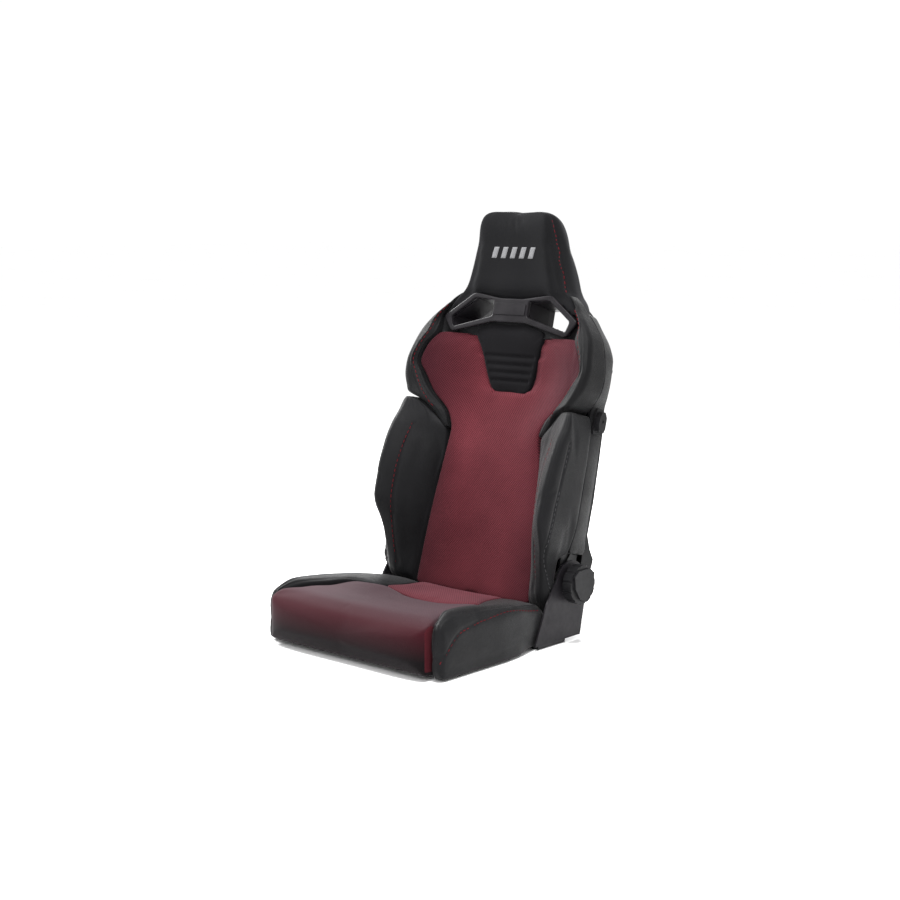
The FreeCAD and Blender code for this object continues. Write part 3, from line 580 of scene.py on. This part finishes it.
def cloth_finish(name, dark, light, pitch, sheen, sheen_tint, roughness=0.8, along=UP_BACK, patch=0.25,
                 relief=0.0005, painted_light_fades=(), centre=None):
    """Woven cloth: two thread colours, soft patches of wear and a nap, with painted shade towards the sides
    and painted sheen and shade fading along an axis where asked.
    """
    finish = Finish(name, roughness, sheen=sheen, sheen_tint=sheen_tint, specular=0.06)
    threads = finish.weave(pitch, ACROSS, along)
    colour = finish.mix(threads, dark, light)
    worn = finish.span(finish.noise(5.0), 0.35, 0.7, 0.0, patch)
    colour = finish.mix(worn, colour, tuple(min(1.0, c * 1.6 + 0.01) for c in light))
    # Painted shade: the colour darkens away from the centre line towards the sides, where the bolsters shade
    # the panel.
    if centre:
        half, tint = centre
        split = finish.tree.nodes.new("ShaderNodeSeparateXYZ")
        finish.join(finish.place, split.inputs[0])
        off_centre = finish.sums("ABSOLUTE", split.outputs[0])
        colour = finish.mix(finish.span(off_centre, half * 0.35, half, 0.0, 0.75), colour, tint)
    # Painted light: each fade paints a sheen or a shade into the colour along one axis of the object.
    for axis, low, high, tint in painted_light_fades:
        colour = finish.mix(finish.across(axis, low, high), colour, tint)
    finish.colour(colour)
    finish.rough(finish.span(threads, 0.0, 1.0, min(roughness + 0.12, 1.0), roughness - 0.08))
    fuzz = finish.sums("MULTIPLY", finish.noise(1400.0, 2.0), 0.35)
    finish.bump(finish.sums("ADD", threads, fuzz), relief, 0.7)
    return finish.material


def leather_finish(name, colour, pale, roughness=0.45, grain=520.0, relief=0.00035, sheen=0.0):
    """Coated leather with a pebble grain, creases and rubbed high spots."""
    finish = Finish(name, roughness, sheen=sheen, specular=0.09)
    pebbles = finish.span(finish.cells(grain), 0.0, 0.35, 0.0, 1.0)
    creases = finish.span(finish.noise(38.0, 6.0), 0.4, 0.6, 0.0, 1.0)
    shade = finish.mix(finish.span(finish.noise(9.0), 0.3, 0.7, 0.0, 0.35), colour, pale)
    shade = finish.mix(finish.sums("MULTIPLY", pebbles, 0.12), shade, pale)
    finish.colour(finish.worn(shade, pale, 0.25))
    finish.rough(finish.span(finish.noise(16.0), 0.3, 0.7, roughness - 0.07, roughness + 0.1))
    height = finish.sums("ADD", pebbles, finish.sums("MULTIPLY", creases, 0.6))
    finish.bump(height, relief, 0.55)
    return finish.material


def plastic_finish(name, colour, pale, roughness=0.42, grain=900.0, relief=0.0002, coat=0.0):
    """Moulded plastic with a fine spark-eroded texture and scuffed edges."""
    finish = Finish(name, roughness, coat=coat, specular=0.12)
    grains = finish.noise(grain, 2.0)
    shade = finish.mix(finish.span(finish.noise(12.0), 0.35, 0.65, 0.0, 0.3), colour, pale)
    finish.colour(finish.worn(shade, pale, 0.45))
    finish.rough(finish.span(finish.noise(24.0), 0.3, 0.7, roughness - 0.06, roughness + 0.08))
    finish.bump(grains, relief, 0.5)
    return finish.material


def metal_finish(name, colour, pale, roughness, metallic, grain=(60.0, 900.0, 900.0), relief=0.0001):
    """Painted or brushed metal with streaks, specks and bright worn edges."""
    finish = Finish(name, roughness, metallic=metallic, specular=0.5 if metallic > 0.5 else 0.14)
    streaks = finish.noise(1.0, 3.0, grain)
    shade = finish.mix(finish.span(streaks, 0.3, 0.7, 0.0, 0.4), colour, pale)
    finish.colour(finish.worn(shade, pale, 0.5))
    finish.rough(finish.span(finish.noise(30.0), 0.3, 0.7, roughness - 0.08, roughness + 0.08))
    finish.bump(streaks, relief, 0.35)
    return finish.material


LOOKS = {
    "head_cloth": cloth_finish("head_cloth", (0.0025, 0.0025, 0.003), (0.006, 0.006, 0.0066), 0.0036, 0.07,
                               (0.8, 0.8, 0.85), 0.9, patch=0.15, relief=0.00015),
    "insert_cloth": cloth_finish("insert_cloth", (0.002, 0.002, 0.0024), (0.005, 0.0047, 0.0055), 0.0036,
                                 0.06, (0.8, 0.75, 0.85), 0.88, patch=0.12, relief=0.00015),
    # red_mesh: painted shade darkens the panel cloth towards its sides, beside the bolsters.
    "red_mesh": cloth_finish("red_mesh", (0.002, 0.001, 0.0015), (0.122, 0.02, 0.028), 0.006, 0.07,
                             (0.85, 0.65, 0.72), 0.8, patch=0.25, relief=0.0011,
                             centre=(0.23, (0.02, 0.005, 0.008))),
    "red_patch": cloth_finish("red_patch", (0.005, 0.0015, 0.002), (0.1, 0.018, 0.026), 0.006, 0.09,
                              (0.85, 0.65, 0.72), 0.78, along=ALONG_SEAT, patch=0.3, relief=0.0004),
    "red_strip": cloth_finish("red_strip", (0.01, 0.002, 0.003), (0.055, 0.005, 0.009), 0.0038, 0.06,
                              (0.9, 0.5, 0.55), 0.8, along=(0.0, 0.6, 1.0), relief=0.0004),
    # shimmer: painted sheen turns the front rounding red, and painted shade darkens the lower front to near
    # black.
    "shimmer": cloth_finish("shimmer", (0.009, 0.004, 0.005), (0.05, 0.024, 0.03), 0.0046, 0.1,
                            (0.85, 0.75, 0.8), 0.72, along=ALONG_SEAT, patch=0.2, relief=0.0003,
                            painted_light_fades=(("Y", -0.2, -0.262, (0.03, 0.004, 0.007)),
                                   ("Z", 0.1, 0.04, (0.003, 0.0022, 0.0026)))),
    "bolster_hide": leather_finish("bolster_hide", (0.0042, 0.0042, 0.0048), (0.012, 0.0118, 0.0132), 0.46,
                                  sheen=0.07),
    "shoulder_hide": leather_finish("shoulder_hide", (0.003, 0.003, 0.0034), (0.009, 0.0088, 0.0098), 0.46,
                                   sheen=0.04),
    "frame_moulding": plastic_finish("frame_moulding", (0.006, 0.0052, 0.0064), (0.018, 0.016, 0.019), 0.4),
    "shell_moulding": plastic_finish("shell_moulding", (0.006, 0.006, 0.0065), (0.018, 0.0176, 0.019), 0.52,
                                     grain=700.0, relief=0.0003),
    "black_moulding": plastic_finish("black_moulding", (0.004, 0.004, 0.0045), (0.018, 0.0175, 0.019), 0.4),
    "grey_enamel": metal_finish("grey_enamel", (0.008, 0.0072, 0.0088), (0.02, 0.018, 0.021), 0.45, 0.05),
    "black_enamel": metal_finish("black_enamel", (0.008, 0.008, 0.0085), (0.04, 0.04, 0.042), 0.4, 0.1),
    "zinc": metal_finish("zinc", (0.42, 0.42, 0.41), (0.6, 0.6, 0.58), 0.34, 1.0),
    "red_thread": cloth_finish("red_thread", (0.05, 0.002, 0.004), (0.13, 0.005, 0.01), 0.0012, 0.05,
                               (1.0, 0.5, 0.5), 0.8, relief=0.0002),
    "grey_thread": cloth_finish("grey_thread", (0.03, 0.03, 0.032), (0.07, 0.07, 0.073), 0.0012, 0.05,
                                (1.0, 1.0, 1.0), 0.8, relief=0.0002),
    "badge_thread": cloth_finish("badge_thread", (0.09, 0.09, 0.095), (0.2, 0.2, 0.205), 0.0016, 0.1,
                                 (1.0, 1.0, 1.0), 0.7, relief=0.0003),
}


def dress(piece, look, body=None, slot=None):
    """Gives a piece its material and body; the slot argument is not used."""
    piece.data.materials.clear()
    piece.data.materials.append(LOOKS[look])
    if body:
        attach(piece, body)


# ---------------------------------------------------------------- the cushion

CUSHION_SEAM = [(-274, 215), (-262, 232), (-240, 232), (-229, 230), (-184, 208), (-110, 196), (-50, 196),
                (10, 142), (60, 124), (128, 118)]
BACK_SEAM = [(-66, 173), (45, 168), (182, 156), (255, 142), (307, 133), (345, 148), (392, 198), (430, 224),
             (460, 241), (502, 227), (536, 204)]


def seam(table, place):
    """Half width of the middle foam at a place along the seat."""
    return float(np.interp(place, [p for p, half in table], [half for p, half in table]))


def swept_seam(piece, place, depth, half, reach=45.0):
    """Curves the cross seam at a place along the cushion forwards in its middle."""
    for vertex in piece.data.vertices:
        x = vertex.co.x / MM
        y = vertex.co.y / MM
        share = max(0.0, 1 - (x / half) ** 2) * math.exp(-((y - place) / reach) ** 2)
        vertex.co.y -= depth * share * MM


def cushion_middle(name, rows, edge_radius, caps):
    """Cushion foam between the bolsters, hollowed towards its centre line."""
    stations = []
    for y, under, edge, middle in rows:
        half = seam(CUSHION_SEAM, y)
        near = half * 0.45
        stations.append((y, [(-half, under, 6), (-half, edge, edge_radius), (-near, middle, 30),
                             (near, middle, 30), (half, edge, edge_radius), (half, under, 6)]))
    return foam(name, on_base, stations, caps=caps)


centre_rows = [(-274, 40, 88, 88), (-262, 12, 108, 106), (-240, 10, 119, 115), (-229, 10, 121, 117),
               (-226, 44, 121, 117), (-184, 44, 121, 114), (-110, 44, 114, 103), (-50, 44, 112, 96),
               (10, 44, 100, 91)]
cushion_centre = cushion_middle("cushion_centre_cover", centre_rows, 11, (14.0, 3.0))
rear_rows = [(10.6, 44, 100, 91), (60, 44, 97, 90), (112, 44, 93, 90), (128, 44, 87, 86)]
cushion_rear = cushion_middle("cushion_rear_cover", rear_rows, 6, (3.0, 5.0))
for piece in (cushion_centre, cushion_rear):
    swept_seam(piece, 10, 22, 142)

thigh_rows = [(-247, 84, 249, 92, 257, 78, 10), (-240, 106, 247, 114, 261, 94, 4),
              (-229, 114, 243, 124, 262, 101, 3), (-184, 127, 236, 141, 262, 112, 3),
              (-110, 122, 233, 135, 262, 111, 3), (-50, 114, 232, 127, 262, 108, 3),
              (10, 101, 226, 117, 257, 104, 3), (60, 97, 220, 107, 246, 98, 8),
              (84, 95, 218, 102, 242, 95, 8), (104, 93, 215, 96, 242, 90, 8), (116, 76, 215, 78, 242, 76, 8),
              (128, 60, 215, 61, 242, 60, 8), (142, 50, 215, 50.5, 242, 49, 8)]
stations = []
for y, seam_z, crest_x, crest_z, edge_x, edge_z, under in thigh_rows:
    inner = max(seam(CUSHION_SEAM, y), 118) + 0.8
    step = max(206.0, inner + 4)
    stations.append((y, [(inner, 44, 3), (inner, seam_z, 6, 2), (crest_x, crest_z, 16, 1.5),
                         (edge_x, edge_z, 14, 1), (edge_x, under, 6), (step, under, 3), (step, 44, 3)]))
thigh_bolster = foam("cushion_bolster_cover_right", on_base, stations, caps=(12.0, 6.0))

# ---------------------------------------------------------------- the backrest

panel_rows = [(-66, -40, -40, -9), (30, -40, -40, -9), (50, -40, -40, 9), (182, -40, -40, 9),
              (255, -46, -41, 9), (307, -50, -36, 9), (345, -51, -28, 9), (392, -60, -18, 9),
              (430, -68, -14, 9), (460, -76, -20, 9), (502, -74, -32, 9), (536, -62, -44, 9)]
stations = []
for w, edge, middle, rear in panel_rows:
    half = seam(BACK_SEAM, w) - 0.6
    near = half * 0.45
    stations.append((w, [(-half, edge, 6), (-near, middle, 40), (near, middle, 40), (half, edge, 6),
                         (half, rear, 4), (-half, rear, 4)]))
back_panel = foam("back_panel_cover", on_back, stations, caps=(7.0, 4.0))

insert_rows = [(408, 45, -14), (416, 57, -16), (424, 62, -18), (500, 86, -38), (545, 103, -50),
               (562, 60, -51)]
insert_places = [w for w, half, front in insert_rows]
insert_halves = [half for w, half, front in insert_rows]
pocket_low = 404
pocket_high = 573
pocket_depth = 11.0
for vertex in back_panel.data.vertices:
    place = vertex.co - HINGE
    w = (place.z * math.cos(LEAN) + place.y * math.sin(LEAN)) / MM
    v = (place.y * math.cos(LEAN) - place.z * math.sin(LEAN)) / MM
    half = float(np.interp(w, insert_places, insert_halves)) + 3
    within = min(half - abs(vertex.co.x) / MM, w - pocket_low, pocket_high - w)
    if within > 0 and v < 0:
        vertex.co = on_back(vertex.co.x / MM, v + min(pocket_depth, within * 3.0), w)
stations = []
for w, half, front in insert_rows:
    stations.append((w, [(-half, front, 7), (0, front + 1, 40), (half, front, 7), (half, front + 14, 3),
                         (-half, front + 14, 3)]))
insert = foam("back_insert_cover", on_back, stations, spacing=4.0, caps=(6.0, 2.0))

lower_rows = [(-74, 173, -30, 198, -38, 228, -40, 238, -36, -24, 212, -9),
              (-64, 0, -38, 198, -48, 228, -50, 240, -46, -32, 212, -9),
              (-50, 0, -42, 198, -66, 230, -70, 243, -58, -32, 212, -9),
              (6, 0, -42, 200, -76, 234, -95, 243, -85, -50, 212, -9),
              (45, 0, -42, 200, -88, 238, -112, 244, -100, -50, 212, -9),
              (64, 0, -42, 200, -93, 241, -121, 249, -106, -24, 212, -9),
              (110, 0, -42, 202, -104, 246, -148, 259, -134, -24, 212, -9),
              (128, 0, -42, 202, -106, 247, -154, 261, -138, -24, 212, 9),
              (182, 0, -42, 200, -108, 248, -154, 262, -140, -24, 212, 9),
              (255, 0, -44, 196, -98, 247, -143, 262, -132, -24, 212, 9),
              (300, 141, -50, 196, -84, 245, -130, 261, -120, -24, 212, 9),
              (343, 184, -70, 204, -84, 244, -108, 258, -102, -24, 212, 9),
              (370, 219, -90, 224, -93, 240, -100, 250, -98, -24, 226, 0)]
upper_rows = [(310, 0, -52, 138, -55, 144, -56, 149, -54, 0, 144, 9),
              (345, 0, -52, 155, -62, 172, -70, 182, -66, 0, 176, 9),
              (371, 0, -58, 184, -74, 206, -90, 217, -88, 0, 210, 9),
              (376, 0, -60, 190, -78, 228, -104, 240, -98, -24, 212, 9),
              (392, 0, -66, 206, -82, 240, -103, 252, -95, -24, 214, 9),
              (430, 0, -73, 232, -88, 258, -101, 270, -89, -24, 226, 9),
              (460, 0, -78, 248, -88, 262, -97, 273, -85, -24, 243, 9),
              (502, 0, -76, 236, -86, 254, -90, 265, -78, -24, 229, 9),
              (536, 0, -64, 216, -78, 242, -82, 254, -72, -24, 208, 9),
              (573, 206, -52, 210, -68, 219, -73, 227, -64, -24, 194, 9),
              (600, 188, -48, 191, -60, 195, -62, 201, -54, -24, 182, 5),
              (624, 168, -46, 171, -52, 175, -54, 179, -48, -24, 164, 0),
              (636, 152, -44, 155, -48, 158, -49, 162, -44, -24, 148, 0)]


def wing(name, rows, caps):
    """A bolster of the backrest on the right side."""
    stations = []
    for w, x1, v1, x2, v2, x3, v3, x4, v4, v5, x6, v6 in rows:
        inner = (x1 or seam(BACK_SEAM, w)) + 0.8
        stations.append((w, [(inner, v1, 5, 1.5), (x2, v2, 14, 1), (x3, v3, 12, 0.5), (x4, v4, 10),
                             (x4, v5, 4), (x6 + 2, v5, 3), (x6, v6, 3), (inner, v6, 3)]))
    return foam(name, on_back, stations, caps=caps)


waist_bolster = wing("back_bolster_cover_right", lower_rows, (2.0, 3.0))
shoulder_bolster = wing("shoulder_bolster_cover_right", upper_rows, (2.0, 0.0))

head_rows = [(590, 193, 198, -58, -44, 0), (600, 188, 193, -60, -46, 4), (610, 181, 186, -61, -47, 9),
             (620, 172, 177, -62, -48, 14), (630, 162, 168, -63, -52, 18), (640, 151, 158, -66, -60, 19),
             (656, 141, 150, -70, -64, 17), (676, 134, 143, -74, -66, 14), (740, 116, 127, -86, -79, -8),
             (802, 99, 111, -98, -93, -34), (822, 88, 99, -94, -92, -60)]
stations = []
for w, front_half, side_half, edge, middle, rear in head_rows:
    near = front_half * 0.5
    waist = (edge + rear) / 2
    stations.append((w, [(-near, middle, 30), (near, middle, 30), (front_half, edge, 10),
                         (side_half, waist, 12), (front_half, rear, 10), (-front_half, rear, 10),
                         (-side_half, waist, 12), (-front_half, edge, 10)]))
head = foam("headrest_cover", on_back, stations, caps=(0.0, 11.0))

yoke_rows = [(534, 206, -58, -46, -22), (540, 206, -56, -46, -22), (573, 206, -55, -48, -22),
             (600, 189, -54, -48, -22), (626, 170, -53, -48, -22)]
stations = []
for w, half, edge, middle, rear in yoke_rows:
    stations.append((w, [(-half, edge, 6), (-half + 16, middle, 8), (half - 16, middle, 8), (half, edge, 6),
                         (half, rear, 4), (-half, rear, 4)]))
yoke = foam("yoke_cover", on_back, stations, caps=(0.0, 0.0))

cover_rows = [(64, 250, 246, 39), (78, 252, 247, 38), (110, 258, 248, 33), (128, 260, 249, 32),
              (187, 261, 249, 32), (300, 258, 248, 32), (343, 252, 246, 32), (371, 250, 244, 32),
              (390, 251, 244, 32), (424, 268, 248, 32), (454, 272, 250, 32), (502, 264, 248, 32),
              (536, 253, 234, 31), (573, 227, 206, 29), (600, 202, 186, 27)]
stations = []
for w, front_half, rear_half, rear in cover_rows:
    stations.append((w, [(front_half, -23, 3, 1.5), (rear_half, rear, 3), (rear_half - 7, rear, 2),
                         (front_half - 10, -23, 2)]))
side_cover = foam("side_cover_padding_right", on_back, stations, caps=(4.0, 4.0))

OPENING = [(50, 578), (50, 619), (110, 623), (180, 574), (168, 548)]


def inside(outline, x, w):
    """Whether a point seen from the front lies within a closed outline."""
    crossings = 0
    for (x1, w1), (x2, w2) in zip(outline, outline[1:] + outline[:1]):
        if (w1 > w) != (w2 > w) and x < x1 + (w - w1) * (x2 - x1) / (w2 - w1):
            crossings += 1
    return crossings % 2 == 1


def pierced(piece, outline, cuts=0):
    """Opens a piece where its faces lie within an outline, given for the right half in (x, w)."""
    work = bmesh.new()
    work.from_mesh(piece.data)
    if cuts:
        bmesh.ops.subdivide_edges(work, edges=work.edges, cuts=cuts, use_grid_fill=True)
    doomed = []
    for face in work.faces:
        centre = face.calc_center_median()
        place = centre - HINGE
        if inside(outline, abs(centre.x) / MM, (place.z * math.cos(LEAN) + place.y * math.sin(LEAN)) / MM):
            doomed.append(face)
    bmesh.ops.delete(work, geom=doomed, context="FACES")
    work.to_mesh(piece.data)
    work.free()


head_opening = [(-1, 580), (-1, 622), (114, 631), (197, 576), (180, 560)]
pierced(yoke, OPENING, cuts=1)
pierced(head, head_opening)

# ---------------------------------------------------------------- cloth simulation

def back_axes(co, normal):
    """A normal's sideways, rearward and upward parts in the leaning backrest."""
    rearward = normal.y * math.cos(LEAN) - normal.z * math.sin(LEAN)
    upward = normal.y * math.sin(LEAN) + normal.z * math.cos(LEAN)
    return normal.x, rearward, upward


def seat_held(co, normal):
    """Whether a point of the cushion's middle is kept: underneath, behind and at its two side seams."""
    return normal.z < 0.15 and normal.y > -0.5 or abs(co.x) > 0.228


def thigh_held(co, normal):
    """Whether a point of a thigh bolster is kept: underneath, against the middle and at its rear end."""
    return normal.z < -0.4 or normal.x < -0.75 or co.z < 0.03 or co.y > 0.095


def flat_held(co, normal):
    """Whether a point is kept because it doesn't face forwards."""
    side, rearward, upward = back_axes(co, normal)
    return rearward > -0.55


def wing_held(co, normal):
    """Whether a point of a backrest bolster is kept: its rear, its inner face and its ends."""
    side, rearward, upward = back_axes(co, normal)
    return rearward > 0.4 or (side < -0.5 and rearward > -0.45) or abs(upward) > 0.8


def head_held(co, normal):
    """Whether a point of the head part is kept: where it meets the shoulders."""
    side, rearward, upward = back_axes(co, normal)
    return upward < -0.6


puff([cushion_centre, cushion_rear], 0.006, seat_held)
puff([thigh_bolster], 0.006, thigh_held)
puff([back_panel, insert], 0.005, flat_held)
puff([waist_bolster, shoulder_bolster], 0.005, wing_held)
puff([head], 0.006, head_held)
puff([side_cover], 0.002, flat_held)

# ---------------------------------------------------------------- seams, stitching and finishes

rib_places = (434, 452, 470, 489)
for w in rib_places:
    half = float(np.interp(w, (424, 500), (62, 86))) - 12
    front = float(np.interp(w, (408, 424, 500), (-14, -18, -38))) - 3
    rib = [on_back(share * half, front, w) for share in (-1, -0.5, 0, 0.5, 1)]
    groove(insert, [rib], 0.0048, 0.0032)

thigh_line = [(250, 35, -240), (252, 66, -224), (252, 96, -184), (251, 104, -110), (250, 108, -16),
              (244, 96, 60), (240, 89, 100)]
thigh_seam = laid(thigh_bolster, [on_base(*p) for p in thigh_line])
waist_line = [(243, -45, -45), (247, -80, 0), (252, -108, 41), (261, -117, 128), (262, -111, 217),
              (261, -99, 300)]
waist_seam = laid(waist_bolster, [on_back(*p) for p in waist_line])
band_line = [(204, -72, -30), (207, -100, 45), (210, -118, 110), (210, -122, 182), (206, -112, 255),
             (202, -98, 305)]
band_lines = []
for shift in (0, 5):
    band_lines.append([on_back(x + shift, v, w) for x, v, w in band_line])
shoulder_line = [(176, -70, 350), (206, -86, 380), (238, -92, 430), (252, -93, 460), (240, -89, 502),
                 (224, -81, 536), (213, -73, 573), (192, -68, 605)]
shoulder_seam = laid(shoulder_bolster, [on_back(*p) for p in shoulder_line])
groove(waist_bolster, [[p for p, n in waist_seam], *band_lines], 0.0032, 0.0022)
groove(thigh_bolster, [[p for p, n in thigh_seam]], 0.0032, 0.002)
groove(shoulder_bolster, [[p for p, n in shoulder_seam]], 0.0032, 0.0018)
head_line = [(100, -84, 806), (120, -76, 768), (131, -70, 744), (141, -64, 715), (150, -58, 689),
             (158, -52, 650)]
head_lines = []
for side, sign in SIDES:
    head_lines.append([on_back(sign * x, v, w) for x, v, w in head_line])
head_seams = [laid(head, line) for line in head_lines]
groove(head, [[p for p, n in line] for line in head_seams], 0.003, 0.0012)


def shifted(line, across):
    """A laid line moved sideways over the skin."""
    result = []
    for i, (place, normal) in enumerate(line):
        after = line[min(i + 1, len(line) - 1)][0]
        before = line[max(i - 1, 0)][0]
        result.append((place + (after - before).normalized().cross(normal) * across, normal))
    return result


def both_sides(piece, base, look, node, slot_name, body, fill=None):
    """Finishes the right-hand piece and makes the left-hand one from it."""
    for side, sign in SIDES:
        made = piece if side == "right" else mirrored(piece, base + "_left")
        dress(made, look, body, slot_name)
        if node:
            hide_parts(node + "_" + side)


thread_rows = [
    ("thigh_thread", thigh_bolster, [on_base(*p) for p in thigh_line], 0.003, "red_thread",
     "bolster_leatherette", "seat_base"),
    ("waist_thread", waist_bolster, [on_back(*p) for p in waist_line], 0.003, "grey_thread",
     "bolster_leatherette", "backrest"),
    ("band_thread", waist_bolster, band_lines[1], 0.004, "red_thread", "bolster_leatherette", "backrest"),
    ("shoulder_thread", shoulder_bolster, [on_back(*p) for p in shoulder_line], 0.003, "red_thread",
     "shoulder_leatherette", "backrest"),
    ("head_thread", head, head_lines[1], 0.003, "red_thread", "head_fabric", "backrest")]
threads = []
for base, piece, line, across, look, slot_name, body in thread_rows:
    row = stitches(base + "_right", shifted(laid(piece, line), across))
    threads.append((row, base, look, None, slot_name, body))
for thread in threads:
    both_sides(*thread)

both_sides(thigh_bolster, "cushion_bolster_cover", "bolster_hide", "cushion_bolster", "bolster_leatherette",
           "seat_base", 0.8)
both_sides(waist_bolster, "back_bolster_cover", "bolster_hide", "back_bolster", "bolster_leatherette",
           "backrest", 0.8)
both_sides(shoulder_bolster, "shoulder_bolster_cover", "shoulder_hide", "shoulder_bolster",
           "shoulder_leatherette", "backrest", 0.8)
both_sides(side_cover, "side_cover_padding", "shoulder_hide", "side_cover", "shoulder_leatherette",
           "backrest", 0.5)
for made, look, node, slot_name, body, fill in (
        (cushion_centre, "shimmer", "cushion_centre", "shimmer_fabric", "seat_base", 0.75),
        (cushion_rear, "red_patch", "cushion_rear_panel", "red_mesh", "seat_base", 0.7),
        (back_panel, "red_mesh", "back_panel", "red_mesh", "backrest", 0.7),
        (insert, "insert_cloth", "back_insert", "insert_fabric", "backrest", 0.6),
        (yoke, "shoulder_hide", "yoke_pad", "shoulder_leatherette", "backrest", 0.6),
        (head, "head_cloth", "headrest_pad", "head_fabric", "backrest", 0.8)):
    dress(made, look, body, slot_name)
    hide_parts(node)

cushion_centre.data.materials.append(LOOKS["red_strip"])
for polygon in cushion_centre.data.polygons:
    if abs(polygon.center.x) > 0.2305 and polygon.center.y < -0.2 and polygon.center.z > 0.02:
        polygon.material_index = 1

# ---------------------------------------------------------------- closing cloth behind the cushion

gusset_half = 238
gusset_columns = 40
gusset_line = [(112, 46.5), (140, 46.5), (160, 46), (178, 44.5), (197, 43.2), (212, 44), (224, 46.5)]
points = []
for place in fine_line([(0, y, z) for y, z in gusset_line], 4.0):
    for step in range(gusset_columns + 1):
        x = gusset_half * (2 * step / gusset_columns - 1)
        pucker = 0.5 * math.sin(x * 0.21) * math.sin(place.y * 0.09)
        points.append(on_base(x, place.z + pucker, place.y))
width = gusset_columns + 1
faces = []
for j in range(len(points) // width - 1):
    for i in range(gusset_columns):
        corner = j * width + i
        faces.append((corner, corner + 1, corner + width + 1, corner + width))
gusset = make_mesh("cushion_closing_cloth", points, faces)
gusset.modifiers.new("Thickness", "SOLIDIFY").thickness = 0.0012
bake(gusset)
dress(gusset, "insert_cloth", "seat_base", "insert_fabric")

# ---------------------------------------------------------------- harness opening frame and badge

FRAME_HALF = [(35, 622), (114, 634), (200, 574), (171, 538), (50, 566)]
OPENING_HALF = [(52, 580), (52, 617), (110, 621), (177, 574), (168, 550)]


def both_halves(half):
    """A closed outline from its right half, listed from the top inwards edge round to the bottom."""
    return half + [(-x, w) for x, w in reversed(half)]


bezel_outlines = [rounded(both_halves(FRAME_HALF), 9)]
for side, sign in SIDES:
    bezel_outlines.append(rounded([(sign * x, w) for x, w in OPENING_HALF], 6))
bezel = moulding("harness_bezel", bezel_outlines, -61.6, 12.0, 3.2)
dress(bezel, "frame_moulding", "backrest", "frame_plastic")
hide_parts("harness_frame_front")
plaque_outline = rounded([(-46, 583), (46, 583), (46, 610), (-46, 610)], 3)
plaque = moulding("bezel_plaque", [plaque_outline], -63.1, 1.8, 0.6)
dress(plaque, "frame_moulding", "backrest", "frame_plastic")
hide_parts("blank_plate")

for index in range(5):
    left = -66 + index * 27
    bar = embroidered("badge_bar_%d" % index, head,
                      [(left, 712), (left + 15, 712), (left + 24, 738), (left + 9, 738)], 1.3)
    dress(bar, "badge_thread", "backrest", "head_fabric")

# ---------------------------------------------------------------- CAD pieces that keep their shape

SLOT_LOOKS = {"frame_plastic": "frame_moulding", "shell_plastic": "shell_moulding",
              "black_plastic": "black_moulding", "grey_paint": "grey_enamel", "black_paint": "black_enamel",
              "zinc_steel": "zinc"}
BLACKENED = ("lever_pivot", "side_feet")
for name, node in frame["nodes"].items():
    if node.hide_render:
        continue
    for holder in node.material_slots:
        look = SLOT_LOOKS.get(holder.material.name.split(".")[0])
        if name in BLACKENED:
            look = "black_enamel"
        if look:
            holder.material = LOOKS[look]

# ---------------------------------------------------------------- floor, light and camera

floor_mesh = bpy.data.meshes.new("floor")
reach = 40.0
floor_mesh.from_pydata([(-reach, -reach, 0), (reach, -reach, 0), (reach, reach, 0), (-reach, reach, 0)], [],
                       [(0, 1, 2, 3)])
floor = bpy.data.objects.new("floor", floor_mesh)
bpy.context.scene.collection.objects.link(floor)
floor.location.z = cad_bounds[0].z - 0.0005
ground = Finish("pale_floor", 0.85, specular=0.2)
clouds = ground.span(ground.noise(1.5), 0.3, 0.7, 0.0, 1.0)
ground.colour(ground.mix(clouds, (0.965, 0.965, 0.965), (0.985, 0.985, 0.985)))
floor_mesh.materials.append(ground.material)

bpy.context.scene.view_settings.view_transform = "Standard"
world = bpy.data.worlds.new("studio")
world.use_nodes = True
background = world.node_tree.nodes["Background"]
background.inputs["Color"].default_value = (1.0, 1.0, 1.0, 1)
background.inputs["Strength"].default_value = 1.03
bpy.context.scene.world = world


def softbox(name, place, target, size, power):
    """A square soft light aimed at a point."""
    data = bpy.data.lights.new(name, "AREA")
    data.size = size
    data.energy = power
    lamp = bpy.data.objects.new(name, data)
    lamp.location = place
    lamp.rotation_euler = (Vector(target) - Vector(place)).to_track_quat("-Z", "Y").to_euler()
    bpy.context.scene.collection.objects.link(lamp)


softbox("key_light", (-2.7, -0.2, 2.1), (0, 0.1, 0.55), 0.9, 130)
softbox("front_light", (1.6, -3.0, 2.6), (0, 0.1, 0.5), 0.8, 32)
softbox("rim_light", (-1.4, 2.2, 2.2), (0, 0.1, 0.6), 1.2, 90)
softbox("top_light", (0.5, -0.4, 3.0), (0, 0.1, 0.4), 0.7, 95)

camera_data = bpy.data.cameras.new("camera")
camera_data.lens = 64.70
camera_data.sensor_width = 36.0
camera = bpy.data.objects.new("camera", camera_data)
camera.location = (2.4013, -2.6007, 0.9413)
camera.rotation_euler = (math.pi / 2 - 0.14406, 0.0, 0.73151)
bpy.context.scene.collection.objects.link(camera)
bpy.context.scene.camera = camera
